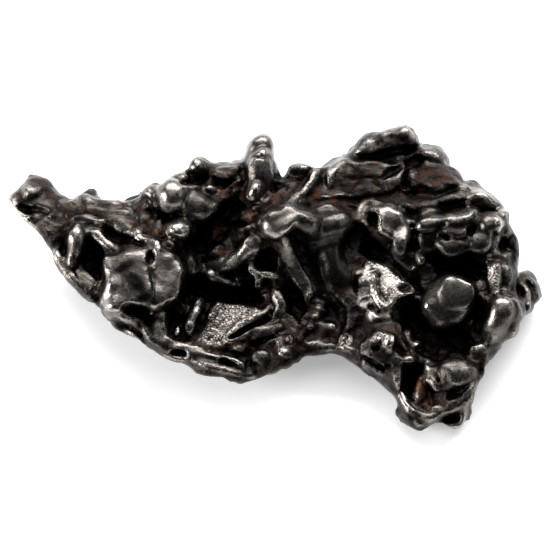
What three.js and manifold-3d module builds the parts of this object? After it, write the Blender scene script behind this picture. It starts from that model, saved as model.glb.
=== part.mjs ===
// A small iron meteorite, one solid natural piece of nickel-iron, as a closed faceted surface.
// It lies on a flat surface at z = 0, with its length along X, and z up. All sizes are in millimetres.
//
// Its relief is set out on a sloping drawing board, as a sculptor works from a leaning panel:
//   a   across the board, the same as x
//   b   up the slope of the board
//   h   square off the board, towards the sculptor
// A "lift" is how far a feature's top stands off the general top surface under it, along h.
import * as THREE from "three";
import Module from "manifold-3d";

// ---------------------------------------------------------------- driving dimensions
const LENGTH = 67; // over the two tips, along X
const BOARD_SLOPE = THREE.MathUtils.degToRad(60); // the board's face looks up at this angle
const RIM_RADIUS = 3.2; // how far in from the outline the edge is rounded off
const FACET = 1.25; // side of a facet of the closed surface
const TOP_REACH = 2.5; // how far each height of the top surface spreads
const UNDER_REACH = 5.5; // the same for the underside
const SOFT = 0.5; // fillet where a lump or a rope runs into the mass
const THINNEST_ROPE = 0.8; // radius below which a rope would fall between the facets
const BARELY_INSIDE = 0.05; // distance given to a sample that is turned from air to metal, or back
const PRINT_SOFT = 1.5; // rounding where a thumbprint hollow meets the underside
const SLAB_SLOPE = 0.8; // brings the slab's upright distance nearer to the true one on its slopes
const OWN_SHARE = 0.4; // part of a sample that softening keeps
const FARTHEST_SHARE = 1e-7; // least pull that one listed height has, however far off
const GROUND = { side: 200, depth: 20 };
const BOARD_SPAN = { a: [-36, 36], b: [-22, 21.5], h: [-12, 21] };

const UP = Math.cos(BOARD_SLOPE);
const OUT = Math.sin(BOARD_SLOPE);
const heightToBoard = (b, z) => (z - b * UP) / OUT;

// ---------------------------------------------------------------- outline on the board
// Clockwise from the left tip: arm, knob cluster, fin, upper plateau, right side, foot, bay, bowl.
const OUTLINE = [
  [-33.4, 9.2], [-33.0, 10.0], [-32.2, 10.4], [-31.3, 11.7], [-30.0, 12.2], [-28.6, 11.6], [-26.4, 10.0],
  [-24.2, 10.2], [-21.0, 9.8], [-18.8, 9.3], [-17.2, 9.2], [-15.8, 10.9], [-14.0, 11.2], [-12.4, 12.6],
  [-10.9, 13.2], [-10.5, 14.4], [-9.4, 14.9], [-8.0, 14.2], [-4.2, 14.5], [-3.8, 16.2], [-2.6, 17.5],
  [-0.9, 17.4], [-0.2, 15.0], [0.5, 12.0], [1.6, 12.3], [2.2, 13.7], [4.0, 13.8], [6.8, 14.0],
  [8.8, 15.1], [10.4, 16.8], [12.4, 17.8], [14.4, 18.2], [16.0, 18.8], [17.2, 17.9], [18.5, 16.1],
  [20.2, 16.0], [21.3, 14.7], [21.5, 13.4], [23.0, 12.8], [24.0, 11.5], [25.2, 11.4], [27.2, 9.6],
  [28.6, 8.6], [29.0, 6.2], [30.2, 4.6], [30.5, 2.2], [30.2, 0.3], [31.8, 0.2], [33.0, -1.4],
  [33.3, -3.0], [31.6, -4.7], [30.3, -5.6], [29.8, -7.3], [28.2, -8.2], [26.6, -10.6], [25.8, -12.4],
  [24.8, -14.6], [24.0, -17.2], [22.4, -19.1], [19.9, -18.4], [17.4, -19.0], [15.4, -17.6], [15.2, -16.2],
  [14.4, -14.4], [12.2, -12.5], [10.4, -11.6], [8.4, -10.0], [5.4, -9.9], [3.0, -10.5], [0.4, -12.0],
  [-3.4, -13.1], [-7.4, -12.9], [-10.2, -11.5], [-13.4, -10.4], [-15.6, -8.7], [-19.2, -7.1], [-21.2, -4.7],
  [-24.2, -2.5], [-26.8, 0.0], [-28.0, 2.6], [-29.2, 5.1], [-31.6, 7.5],
];

// ---------------------------------------------------------------- general height of the top and the underside
// Each is [a, b, z], with z the height over the surface that the piece rests on.
const TOP = [
  [-33, 9.3, 8.5], [-30, 9, 10], [-26, 6, 10.5], [-22, 8, 11], [-27, 2, 8], [-23, -1, 7.5], [-18, 0, 12],
  [-13, 0, 12.5], [-20, -5, 6], [-15, -6, 7], [-14, 9, 12.5], [-9, 12, 13], [-4, 12, 13], [-5, 4, 9],
  [-8, -1, 5], [-5, -6, 6.5], [-10, -10, 5], [-3, -12, 4], [1, -9, 6.5], [1, 6.5, 15.5], [6, 6, 13.5],
  [3, 1, 9], [6, -3, 7.5], [8, 2, 9.5], [6, -9, 5], [3, 12, 12.5], [8, 12, 12.5], [13, 12, 12],
  [14, 17, 14], [20, 12, 11], [19, 15.5, 10.5], [12, 8, 12], [13, 0, 8.5], [18, 5, 11], [22, 8, 11.5],
  [26, 6, 11], [24, 4, 11.5], [22, 1, 7], [28, 9, 8], [29.5, 4, 7.5], [28.5, -3, 9], [26, -8, 7],
  [31.5, -2, 3.5], [20, -6, 5.5], [13, -9, 8], [13, -13, 5], [17, -14, 4], [22, -13, 7], [24, -12, 5],
  [19, -17, 4.5], [17, -18.5, 2], [22.5, -18.5, 2],
];
const UNDER = [
  [-33, 9, 6.3], [-28, 5, 4.4], [-22, 6, 2.6], [-20, -5, 1.8], [-13, 2, -2.2], [-8, -8, -1.6], [-2, 12, 2.6],
  [-1, 0, 0.6], [0, -11, 1.2], [8, 11, 2.2], [8, -8, 2], [15, 16, 6], [18, 7, -2.6], [24, 9, 2],
  [30, 0, 1], [20, -5, 0.6], [19, -16, -2.4], [26, -8, 1.6],
];

// ---------------------------------------------------------------- lumps
// Each is [a, b, lift, half size along a, along b and along h, turn in degrees].
const LUMPS = [
  // left arm
  [-30.2, 10.8, 1.1, 2.0, 1.4, 1.4, -20], [-24.0, 9.7, 0.6, 0.9, 0.7, 0.9, 0],
  // twin lobes
  [-18.2, -0.7, 1.5, 2.7, 3.9, 2.6, 8], [-13.0, -0.6, 1.8, 2.3, 3.2, 2.6, -10],
  // knob cluster
  [-12.9, 9.8, 2.2, 1.65, 1.5, 1.7, 0], [-15.1, 10.1, 1.4, 1.15, 1.1, 1.2, 0], [-12.0, 11.8, 0.8, 1.9, 1.4, 1.4, 20],
  [-9.6, 14.0, 1.5, 1.25, 1.1, 1.3, 0], [-10.1, 10.1, 1.7, 0.9, 0.9, 0.9, 0], [-7.9, 10.7, 1.6, 1.3, 0.9, 1.0, 0],
  [-8.0, 8.3, 1.2, 1.2, 1.0, 1.2, 0], [-11.8, 5.9, 1.8, 1.4, 1.4, 1.6, 0], [-14.4, 5.8, 0.9, 1.3, 1.1, 1.2, 0],
  // behind the fin, and the plateau's knobs
  [3.0, 13.1, 0.9, 1.3, 0.9, 1.1, 0], [20.0, 14.8, 1.1, 1.5, 1.3, 1.5, 0], [14.2, 16.5, 1.6, 4.0, 1.8, 1.8, 12],
  [23.6, 10.9, 0.8, 1.2, 0.8, 1.0, 0], [25.4, 9.2, 1.1, 1.7, 1.6, 1.6, 0], [28.2, 8.2, 0.4, 1.0, 1.3, 1.1, 10],
  [29.5, 4.2, 0.5, 1.0, 1.7, 1.1, 0], [25.8, 5.4, 1.3, 0.9, 0.9, 1.0, 0], [18.3, 1.7, 1.6, 1.1, 1.0, 1.1, 0],
  // sparkling plate's underside, round knob and its stem
  [13.2, -4.5, 0.8, 2.0, 1.5, 1.8, 0], [16.1, -5.0, 0.7, 1.0, 1.0, 1.1, 0], [21.8, -2.6, 4.6, 2.8, 3.1, 2.3, 0],
  [21.0, -4.0, 3.4, 2.5, 2.8, 3.6, 0],
  // right-hand lobes
  [32.0, -1.9, 0.6, 1.4, 2.1, 1.5, 10], [29.6, -6.7, -0.6, 0.9, 1.1, 1.2, 0],
  // spur, bowl and feet at the lower right
  [13.2, -10.8, 1.1, 1.9, 3.3, 1.8, 30], [22.4, -11.8, 0.9, 1.7, 1.1, 1.4, 0], [25.3, -12.9, 0.4, 0.8, 0.8, 0.9, 0],
  [16.7, -17.6, 0.3, 1.4, 1.3, 1.5, 0], [22.2, -17.8, 0.2, 1.8, 1.3, 1.6, 0],
  // bottom rim
  [-1.0, -10.9, 0.7, 1.5, 1.1, 1.2, 0], [2.0, -10.5, 0.4, 0.9, 0.9, 1.0, 0], [-4.2, -9.0, 0.6, 1.0, 0.9, 0.9, 0],
];

// ---------------------------------------------------------------- ropes: round ridges through [a, b, lift, radius]
const ROPES = [
  [[-32.6, 9.2, 0.9, 1.0], [-31.2, 7.8, 0.7, 0.8], [-29.8, 6.1, 0.4, 0.7]], // lower edge of the arm
  [[-32.3, 9.8, 0.9, 0.7], [-28.5, 9.4, 0.9, 0.7], [-24.6, 9.0, 0.7, 0.7]],
  [[-24.2, 7.8, 0.9, 0.9], [-24.4, 5.4, 1.5, 1.0], [-24.9, 3.0, 1.4, 0.95], [-24.9, 1.2, 0.9, 0.8]], // upright rib
  [[-29.0, 4.9, 0.3, 0.9], [-27.4, 1.6, 0.5, 0.95], [-25.2, -1.0, 0.5, 1.0], [-22.0, -3.5, 0.5, 1.0]], // left rim
  [[-20.2, 6.9, 0.8, 0.6], [-18.2, 5.5, 0.9, 0.6], [-16.4, 4.0, 0.9, 0.6]],
  [[-23.6, 5.7, 0.8, 0.6], [-21.0, 4.4, 0.8, 0.55], [-19.2, 3.3, 0.7, 0.5], [-16.0, 3.2, 0.6, 0.5]],
  [[-11.6, 9.0, 1.6, 1.1], [-10.2, 8.8, 1.6, 1.2], [-9.2, 8.0, 1.3, 0.9], [-9.1, 6.8, 0.8, 0.6]],
  [[-10.7, 2.8, 1.0, 0.7], [-9.8, 1.6, 1.0, 0.8], [-8.6, 0.8, 0.3, 0.6]],
  [[-1.9, 9.2, 2.0, 0.9], [-1.7, 11.0, 3.4, 1.25], [-1.6, 13.4, 4.6, 1.35], [-1.5, 15.2, 5.6, 1.2]], // fin
  [[-3.1, 13.4, 3.0, 0.9], [-2.9, 15.4, 3.9, 1.0], [-2.0, 16.6, 4.2, 1.25]], // back of the fin
  [[-1.0, 5.9, 2.0, 1.0], [0.4, 7.1, 2.3, 1.0], [3.0, 6.9, 1.9, 0.9], [6.0, 6.2, 1.2, 0.9],
    [9.0, 6.4, 0.8, 0.8]], // hump
  [[5.5, 4.4, 0.6, 1.6], [7.6, 2.6, 0.7, 1.8], [8.8, 0.3, 0.7, 1.7], [9.3, -2.0, 0.4, 1.2]], // flank of the hump
  [[1.0, 3.2, 0.8, 0.6], [3.2, 0.8, 0.7, 0.6], [4.8, -1.0, 0.6, 0.7]],
  [[-8.0, 1.4, 0.8, 0.5], [-5.0, 2.4, 1.0, 0.6], [-2.4, 4.6, 0.8, 0.5]],
  [[-2.6, 3.4, 0.7, 0.5], [-2.9, 1.0, 0.7, 0.6], [-1.9, -0.9, 0.7, 0.6], [0.2, -2.8, 0.9, 0.7],
    [0.1, -4.6, 1.0, 0.7], [-3.0, -6.2, 0.9, 0.65], [-6.0, -8.4, 0.7, 0.6]], // lip of the bowl
  [[-19.0, -4.9, 0.6, 0.6], [-15.0, -7.0, 0.6, 0.6], [-11.0, -9.3, 0.6, 0.6], [-7.4, -10.6, 0.6, 0.6],
    [-3.0, -11.4, 0.5, 0.6]], // inner rim
  [[-15.0, -9.1, 0.3, 0.7], [-10.4, -11.0, 0.4, 0.75], [-6.0, -12.4, 0.4, 0.75], [-2.0, -12.5, 0.4, 0.7]], // outer rim
  [[5.3, 12.6, 1.3, 0.7], [3.6, 10.8, 1.2, 0.7], [1.4, 8.4, 0.9, 0.6]], // cord across the plateau
  [[6.9, 12.4, 1.0, 0.7], [8.2, 14.0, 1.1, 0.7], [10.6, 15.0, 1.2, 0.8], [11.4, 16.6, 1.5, 0.8]],
  [[14.0, 9.5, 0.8, 0.55], [18.0, 10.0, 0.8, 0.55], [22.4, 10.5, 0.8, 0.5]],
  [[11.2, 8.2, 1.6, 0.8], [12.2, 8.9, 1.9, 0.85], [13.7, 8.3, 2.0, 0.9], [14.6, 6.8, 2.1, 1.0],
    [15.3, 5.0, 2.0, 1.1], [15.5, 3.8, 1.7, 0.85]], // ear
  [[14.6, 8.2, 1.4, 0.9], [15.7, 7.0, 1.3, 0.9], [16.0, 5.6, 1.2, 0.7]],
  [[16.8, 6.2, 0.9, 0.6], [17.6, 7.0, 1.0, 0.6], [18.8, 5.9, 1.0, 0.6], [19.2, 4.8, 0.8, 0.5]],
  [[19.3, 4.8, 0.8, 0.6], [20.0, 3.9, 1.0, 0.7], [22.4, 3.5, 1.3, 0.8], [25.5, 4.0, 1.3, 0.8],
    [27.6, 5.4, 1.0, 0.7], [26.4, 6.5, 1.0, 0.6]], // lower lip of the swirl
  [[19.6, 7.8, 0.9, 0.6], [21.2, 8.0, 1.0, 0.65], [24.0, 7.4, 0.9, 0.6]],
  [[27.4, 7.5, 0.9, 0.6], [28.6, 6.2, 0.9, 0.6], [28.4, 4.2, 0.8, 0.6], [27.5, 2.2, 1.0, 0.7],
    [27.7, -0.2, 1.3, 1.0], [28.5, -1.4, 1.3, 0.9]], // chain down the right side
  [[28.7, -2.9, 1.3, 0.9], [28.6, -4.6, 1.3, 0.9], [27.2, -6.3, 1.1, 0.7]],
  [[29.6, -3.2, 0.4, 0.7], [29.2, -5.8, 0.4, 0.7], [27.4, -8.6, 0.4, 0.7], [26.0, -10.4, 0.3, 0.6]],
  [[26.0, -7.5, 0.9, 0.6], [25.3, -8.7, 1.0, 0.65], [24.4, -9.9, 0.8, 0.6]],
  [[14.2, 1.9, 0.9, 0.5], [16.0, 0.6, 0.9, 0.5], [17.8, -2.0, 0.8, 0.5]],
  [[13.4, -1.2, 0.9, 0.5], [13.3, -2.8, 1.0, 0.5], [15.1, -4.2, 1.0, 0.55], [18.0, -3.0, 1.0, 0.5]],
  [[15.5, -14.6, 0.6, 0.6], [17.4, -15.9, 0.7, 0.6], [19.8, -16.0, 0.8, 0.6], [21.2, -15.9, 0.8, 0.6]],
  [[15.5, -16.0, 0.3, 0.8], [18.6, -17.3, 0.4, 0.8], [20.6, -16.6, 0.5, 0.7], [23.0, -16.2, 0.6, 0.6],
    [24.7, -14.4, 0.6, 0.6], [24.0, -13.1, 1.0, 0.6], [22.0, -13.0, 1.1, 0.6], [20.5, -14.0, 0.9, 0.6]], // bowl of the foot
  [[3.6, -9.5, 0.5, 0.6], [6.0, -9.2, 0.4, 0.5], [10.0, -10.1, 0.4, 0.5]],
];

// ---------------------------------------------------------------- hollows
// Each is [a, b, depth, half size along a, along b and along h, turn in degrees].
const HOLLOWS = [
  [-22.8, 2.3, 4.5, 1.5, 2.6, 4.5, 5], [-12.9, 7.9, 2.0, 1.9, 0.8, 2.0, 0], [-15.7, 1.7, 0.6, 0.9, 1.1, 1.6, 0],
  [-6.2, 7.4, 3.6, 2.2, 1.6, 3.6, 10], [-9.0, 4.0, 3.0, 1.6, 2.2, 3.0, 20], [-1.2, 2.5, 3.6, 1.5, 1.9, 3.6, 0],
  [-0.6, -0.7, 2.8, 1.2, 1.0, 2.8, 0], [-5.6, -2.2, 1.8, 4.6, 1.9, 3.4, -6], [-9.6, -2.4, 1.8, 2.0, 2.6, 3.4, 0],
  [-6.0, -6.4, 0.6, 3.2, 2.8, 2.0, 30], [3.8, 3.0, 0.9, 1.9, 2.5, 1.8, 20], [2.6, -4.2, 1.2, 1.9, 4.2, 2.4, 0],
  [7.0, -4.0, 1.0, 1.2, 3.4, 2.2, 25], [0.6, 10.9, 3.0, 1.0, 0.9, 3.0, 0], [11.6, 4.2, 4.6, 2.8, 1.9, 4.6, -20],
  [12.2, 7.3, 0.2, 1.1, 0.8, 1.4, -30], [13.4, -1.2, 0.2, 2.4, 2.6, 1.4, 0], [22.9, 1.0, 1.6, 3.0, 1.1, 2.8, 0],
  [22.4, 6.2, 0.6, 1.7, 0.6, 1.6, 20], [17.6, 5.0, 0.6, 0.9, 0.9, 1.4, 0], [20.8, -8.6, 2.6, 4.0, 2.4, 4.6, 0],
  [24.7, -4.6, 3.0, 1.4, 3.2, 4.2, 0], [17.9, -6.4, 2.0, 1.5, 2.4, 3.4, 0], [17.2, -13.0, 2.2, 1.8, 2.5, 3.4, -10],
  [22.6, -14.5, 0.5, 1.6, 1.0, 1.2, 10], [25.0, -11.5, 1.2, 0.9, 0.9, 1.6, 0], [26.7, -8.7, 0.6, 0.7, 1.0, 1.2, -30],
];

// ---------------------------------------------------------------- thumbprint hollows of the underside
// Each is [a, b, z of the centre, radius].
const THUMBPRINTS = [
  [-24, 4, -4.2, 8.2], [-17, -2, -5.6, 7.4], [-4, 6, -6.4, 8.4], [-3, -5, -6.8, 8.0], [8, 3, -7.2, 9.4],
  [9, -5, -5.8, 8.0], [12, 12, -2.6, 7.4], [25, 3, -5.4, 7.8], [24, -9, -5.6, 7.6],
];

// ---------------------------------------------------------------- distances
const clamp01 = (t) => Math.min(1, Math.max(0, t));
function joinSoftly(d1, d2, k) {
  const t = clamp01(0.5 + (0.5 * (d2 - d1)) / k);
  return d2 * (1 - t) + d1 * t - k * t * (1 - t);
}
const cutSoftly = (d1, d2, k) => -joinSoftly(-d1, d2, k);

function spreadHeights(points, reach) {
  return (a, b) => {
    let sum = 0;
    let weight = 0;
    for (const [pa, pb, pz] of points) {
      const w = Math.exp(-((a - pa) ** 2 + (b - pb) ** 2) / (2 * reach * reach)) + FARTHEST_SHARE;
      sum += w * pz;
      weight += w;
    }
    return sum / weight;
  };
}
const topZ = spreadHeights(TOP, TOP_REACH);
const underZ = spreadHeights(UNDER, UNDER_REACH);
const topH = (a, b) => heightToBoard(b, topZ(a, b));
const underH = (a, b) => heightToBoard(b, underZ(a, b));

function insideOutline(outline) {
  const corners = outline.map(([a, b]) => new THREE.Vector3(a, b, 0));
  const curve = new THREE.CatmullRomCurve3(corners, true, "catmullrom", 0.5);
  const ring = curve.getPoints(outline.length * 3).slice(0, -1);
  return (a, b) => {
    let nearest = Infinity;
    let inside = false;
    ring.forEach((p, i) => {
      const q = ring[(i + 1) % ring.length];
      const ea = q.x - p.x;
      const eb = q.y - p.y;
      const t = clamp01(((a - p.x) * ea + (b - p.y) * eb) / (ea * ea + eb * eb));
      nearest = Math.min(nearest, Math.hypot(a - p.x - t * ea, b - p.y - t * eb));
      if (p.y > b !== q.y > b && a < p.x + (ea * (b - p.y)) / eb) inside = !inside;
    });
    return inside ? nearest : -nearest;
  };
}

function ellipsoid([a, b, , ra, rb, rh, turn], centreH) {
  const c = Math.cos(THREE.MathUtils.degToRad(turn));
  const s = Math.sin(THREE.MathUtils.degToRad(turn));
  return (pa, pb, ph) => {
    const u = (pa - a) * c + (pb - b) * s;
    const v = (pb - b) * c - (pa - a) * s;
    const w = ph - centreH;
    const near = Math.hypot(u / ra, v / rb, w / rh);
    const slope = Math.hypot(u / (ra * ra), v / (rb * rb), w / (rh * rh));
    return slope > 1e-9 ? (near * (near - 1)) / slope : -Math.min(ra, rb, rh);
  };
}

function rope(stations) {
  const balls = stations.map(([a, b, lift, r]) => {
    const radius = Math.max(r, THINNEST_ROPE);
    return { at: new THREE.Vector3(a, b, topH(a, b) + lift - radius), radius };
  });
  const lengths = balls.slice(1).map((ball, i) => {
    const step = ball.at.clone().sub(balls[i].at);
    return { ...balls[i], step, lengthSq: step.lengthSq(), widening: ball.radius - balls[i].radius };
  });
  return (a, b, h) => {
    let nearest = Infinity;
    for (const { at, radius, step, lengthSq, widening } of lengths) {
      const t = clamp01(((a - at.x) * step.x + (b - at.y) * step.y + (h - at.z) * step.z) / lengthSq);
      const gap = Math.hypot(a - at.x - t * step.x, b - at.y - t * step.y, h - at.z - t * step.z);
      nearest = Math.min(nearest, gap - radius - t * widening);
    }
    return nearest;
  };
}

// ---------------------------------------------------------------- the whole solid as one distance field
const outlineDepth = insideOutline(OUTLINE);
const lumps = LUMPS.map((s) => ellipsoid(s, topH(s[0], s[1]) + s[2] - s[5]));
const ropes = ROPES.map(rope);
const hollows = HOLLOWS.map((s) => ellipsoid(s, topH(s[0], s[1]) - s[2] + s[5]));
const thumbprints = THUMBPRINTS.map(([a, b, z, r]) => ellipsoid([a, b, 0, r, r, r, 0], heightToBoard(b, z)));

function slabAt(a, b) {
  const depth = outlineDepth(a, b);
  const top = topH(a, b);
  const under = underH(a, b);
  const rounded = depth > 0 ? Math.sqrt(1 - (1 - Math.min(depth / RIM_RADIUS, 1)) ** 2) : 0;
  return { depth, middle: (top + under) / 2, half: ((top - under) / 2) * rounded };
}

function fieldAt(a, b, h, { depth, middle, half }) {
  const overTop = Math.abs(h - middle) - half;
  let d = depth > 0 ? Math.max(overTop * SLAB_SLOPE, -depth) : Math.hypot(depth, Math.max(overTop, 0));
  for (const print of thumbprints) d = cutSoftly(d, print(a, b, h), PRINT_SOFT);
  for (const lump of lumps) d = joinSoftly(d, lump(a, b, h), SOFT);
  for (const ridge of ropes) d = joinSoftly(d, ridge(a, b, h), SOFT);
  for (const hollow of hollows) d = cutSoftly(d, hollow(a, b, h), SOFT);
  return d;
}

function sampleField() {
  const counts = ["a", "b", "h"].map((k) => Math.ceil((BOARD_SPAN[k][1] - BOARD_SPAN[k][0]) / FACET) + 1);
  const [na, nb, nh] = counts;
  const values = new Float32Array(na * nb * nh);
  for (let i = 0; i < na; i++)
    for (let j = 0; j < nb; j++) {
      const a = BOARD_SPAN.a[0] + i * FACET;
      const b = BOARD_SPAN.b[0] + j * FACET;
      const slab = slabAt(a, b);
      for (let k = 0; k < nh; k++) {
        const h = BOARD_SPAN.h[0] + k * FACET;
        values[(i * nb + j) * nh + k] = fieldAt(a, b, h, slab);
      }
    }
  return { counts, values };
}

// Averages each sample with its six neighbours, so that nothing is finer than the facets can follow.
function softenField({ counts: [, nb, nh], values }) {
  const strides = [nb * nh, nh, 1];
  const before = values.slice();
  for (let at = strides[0]; at < values.length - strides[0]; at++) {
    const around = strides.reduce((sum, stride) => sum + before[at - stride] + before[at + stride], 0);
    values[at] = OWN_SHARE * before[at] + ((1 - OWN_SHARE) / 6) * around;
  }
}

// Where the four corners of a grid square lie inside and outside crosswise, two facet strips would share an edge.
// Filling one corner makes the surface a plain closed one.
function fillCrossings({ counts: [, nb, nh], values }) {
  const strides = [nb * nh, nh, 1];
  const pairs = [[0, 1], [0, 2], [1, 2]];
  let filled = 1;
  while (filled > 0) {
    filled = 0;
    for (let at = 0; at < values.length - nb * nh - nh - 1; at++)
      for (const [s, t] of pairs) {
        const square = [at, at + strides[s], at + strides[s] + strides[t], at + strides[t]];
        const [p, q, r, u] = square.map((n) => values[n] < 0);
        if (p !== r || q !== u || p === q) continue;
        values[p ? square[1] : square[0]] = -BARELY_INSIDE;
        filled += 1;
      }
  }
}

function samplesJoinedTo(start, { counts: [, nb, nh], values }) {
  const metal = values[start] < 0;
  const joined = new Uint8Array(values.length);
  const waiting = [start];
  joined[start] = 1;
  while (waiting.length) {
    const at = waiting.pop();
    for (const step of [nb * nh, nh, 1, -1, -nh, -nb * nh]) {
      const next = at + step;
      if (next < 0 || next >= values.length || joined[next] || values[next] < 0 !== metal) continue;
      joined[next] = 1;
      waiting.push(next);
    }
  }
  return joined;
}

// Fills any hollow that the outside air doesn't reach, and drops any crumb that isn't joined to the mass.
function keepOneBody(field) {
  const { values } = field;
  const air = samplesJoinedTo(0, field);
  values.forEach((value, at) => {
    if (value >= 0 && !air[at]) values[at] = -BARELY_INSIDE;
  });
  const deepest = values.reduce((best, value, at) => (value < values[best] ? at : best), 0);
  const mass = samplesJoinedTo(deepest, field);
  values.forEach((value, at) => {
    if (value < 0 && !mass[at]) values[at] = BARELY_INSIDE;
  });
}

// One vertex in each grid cell that the surface passes through, and one facet pair across each edge that it cuts.
function surfaceOf({ counts: [na, nb, nh], values }) {
  const strides = [nb * nh, nh, 1];
  const vertexOf = new Map();
  const positions = [];
  const triangles = [];
  const corners = [...Array(8).keys()].map((n) => [n & 1, (n >> 1) & 1, (n >> 2) & 1]);
  const edges = corners.flatMap((c, m) => corners.map((d, n) => [m, n]).filter(([p, n]) =>
    n > p && c.reduce((s, x, axis) => s + Math.abs(x - corners[n][axis]), 0) === 1));
  for (let i = 0; i + 1 < na; i++)
    for (let j = 0; j + 1 < nb; j++)
      for (let k = 0; k + 1 < nh; k++) {
        const at = i * strides[0] + j * strides[1] + k;
        const v = corners.map(([x, y, z]) => values[at + x * strides[0] + y * strides[1] + z]);
        const crossed = edges.filter(([m, n]) => v[m] < 0 !== v[n] < 0);
        if (!crossed.length) continue;
        const mean = [0, 0, 0];
        for (const [m, n] of crossed) {
          const t = v[m] / (v[m] - v[n]);
          for (let axis = 0; axis < 3; axis++)
            mean[axis] += (corners[m][axis] + t * (corners[n][axis] - corners[m][axis])) / crossed.length;
        }
        vertexOf.set(at, positions.length / 3);
        positions.push(BOARD_SPAN.a[0] + (i + mean[0]) * FACET, BOARD_SPAN.b[0] + (j + mean[1]) * FACET,
          BOARD_SPAN.h[0] + (k + mean[2]) * FACET);
      }
  for (let at = strides[0] + strides[1] + 1; at < values.length - strides[0]; at++)
    for (let axis = 0; axis < 3; axis++) {
      const inside = values[at] < 0;
      if (inside === values[at + strides[axis]] < 0) continue;
      const u = strides[(axis + 1) % 3];
      const w = strides[(axis + 2) % 3];
      const ring = [at, at - u, at - u - w, at - w].map((n) => vertexOf.get(n));
      if (ring.includes(undefined)) continue;
      const [p, q, r, s] = inside ? ring : [...ring].reverse();
      triangles.push(p, q, r, p, r, s);
    }
  return new THREE.BufferGeometry()
    .setAttribute("position", new THREE.Float32BufferAttribute(positions, 3))
    .setIndex(triangles);
}

// ---------------------------------------------------------------- from the board to the ground, and the flats it rests on
function standUp(geometry) {
  const board = new THREE.Matrix4().makeBasis(
    new THREE.Vector3(1, 0, 0), new THREE.Vector3(0, OUT, UP), new THREE.Vector3(0, -UP, OUT));
  return geometry.applyMatrix4(board);
}

function toSolid(wasm, geometry) {
  return new wasm.Manifold(new wasm.Mesh({
    numProp: 3,
    vertProperties: geometry.getAttribute("position").array,
    triVerts: new Uint32Array(geometry.index.array),
  }));
}

function toGeometry(solid) {
  const mesh = solid.getMesh();
  return new THREE.BufferGeometry()
    .setAttribute("position", new THREE.Float32BufferAttribute(mesh.vertProperties, 3))
    .setIndex([...mesh.triVerts]);
}

function groundBox() {
  const box = new THREE.BoxGeometry(GROUND.side, GROUND.side, GROUND.depth);
  box.translate(0, 0, -GROUND.depth / 2);
  const corners = new Map();
  const positions = [];
  const index = [];
  const source = box.getAttribute("position");
  for (const n of box.index.array) {
    const point = [source.getX(n), source.getY(n), source.getZ(n)];
    const key = point.join();
    if (!corners.has(key)) {
      corners.set(key, positions.length / 3);
      positions.push(...point);
    }
    index.push(corners.get(key));
  }
  return new THREE.BufferGeometry()
    .setAttribute("position", new THREE.Float32BufferAttribute(positions, 3))
    .setIndex(index);
}

function centreOverOrigin(geometry) {
  geometry.computeBoundingBox();
  const { min, max } = geometry.boundingBox;
  const size = LENGTH / (max.x - min.x);
  return geometry.translate(-(min.x + max.x) / 2, -(min.y + max.y) / 2, -min.z).scale(size, size, size);
}

async function meteoriteGeometry() {
  const wasm = await Module();
  wasm.setup();
  const field = sampleField();
  softenField(field);
  fillCrossings(field);
  keepOneBody(field);
  fillCrossings(field);
  const whole = toSolid(wasm, standUp(surfaceOf(field)));
  const standing = whole.subtract(toSolid(wasm, groundBox()));
  return centreOverOrigin(toGeometry(standing));
}

const ironMaterial = new THREE.MeshStandardMaterial({ color: 0x3b3632, roughness: 0.42, metalness: 0.85 });
const meteorite = new THREE.Mesh(await meteoriteGeometry(), ironMaterial);
meteorite.name = "meteorite";

const piece = new THREE.Group();
piece.add(meteorite);
export default piece;
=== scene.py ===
"""The looks of a small iron meteorite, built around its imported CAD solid.

The visible face is modelled as a relief on a sloping board, as on a sculptor's easel. On the board, a runs
across, b runs up the slope and h stands square off it towards the viewer, all in millimetres. The relief is
a height map that knobs, ropes, grooves, pits and flat pads are worked into, from the largest to the finest.
It is then made solid as a distance field with an underside, a rounded rim and a fine skin of noise, meshed,
stood on the floor and fitted to the CAD solid's box.
"""
import math

import bpy
import numpy as np
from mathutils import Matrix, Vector


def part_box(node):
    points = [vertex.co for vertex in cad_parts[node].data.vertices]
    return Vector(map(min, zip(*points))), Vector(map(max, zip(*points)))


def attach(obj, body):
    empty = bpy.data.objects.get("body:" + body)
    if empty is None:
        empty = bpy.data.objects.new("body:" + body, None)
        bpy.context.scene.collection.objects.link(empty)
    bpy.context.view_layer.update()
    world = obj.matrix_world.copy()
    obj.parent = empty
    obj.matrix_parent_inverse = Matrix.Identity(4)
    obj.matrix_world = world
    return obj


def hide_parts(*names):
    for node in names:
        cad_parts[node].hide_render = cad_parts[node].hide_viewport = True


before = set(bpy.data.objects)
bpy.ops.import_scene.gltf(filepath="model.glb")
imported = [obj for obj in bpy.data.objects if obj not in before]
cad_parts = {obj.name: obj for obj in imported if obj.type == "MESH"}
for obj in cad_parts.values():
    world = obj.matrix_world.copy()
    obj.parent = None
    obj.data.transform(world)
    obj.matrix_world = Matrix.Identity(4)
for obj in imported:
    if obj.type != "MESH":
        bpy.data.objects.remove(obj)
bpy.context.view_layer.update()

MM = 0.001
UP = 0.5  # sine of how far the board leans back from upright: its face looks up at 60 degrees
OUT = math.sqrt(1 - UP * UP)
MAP_STEP = 0.125  # spacing of the height map
CELL = 0.26  # spacing of the solid's distance field
SPAN_A = (-35.5, 35.0)
SPAN_B = (-21.0, 20.5)
SPAN_H = (-10.0, 19.0)
TOP_REACH = 2.5  # how far each given height of the top spreads
UNDER_REACH = 5.5
CAMERA_LENS = 500.0
SENSOR = 36.0
PICTURE_WIDTH = 68.75  # what the camera takes in across the piece
SEED = 11
SWAY = ((4.0, 0.22), (1.6, 0.13))  # wavelength and height of the noise that sways every feature sideways
SWAY_ROOM = 0.8  # how far the sway can carry a spot
ROPE_WIDTH = 1.25  # all ropes are this much wider than their given radius
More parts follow.
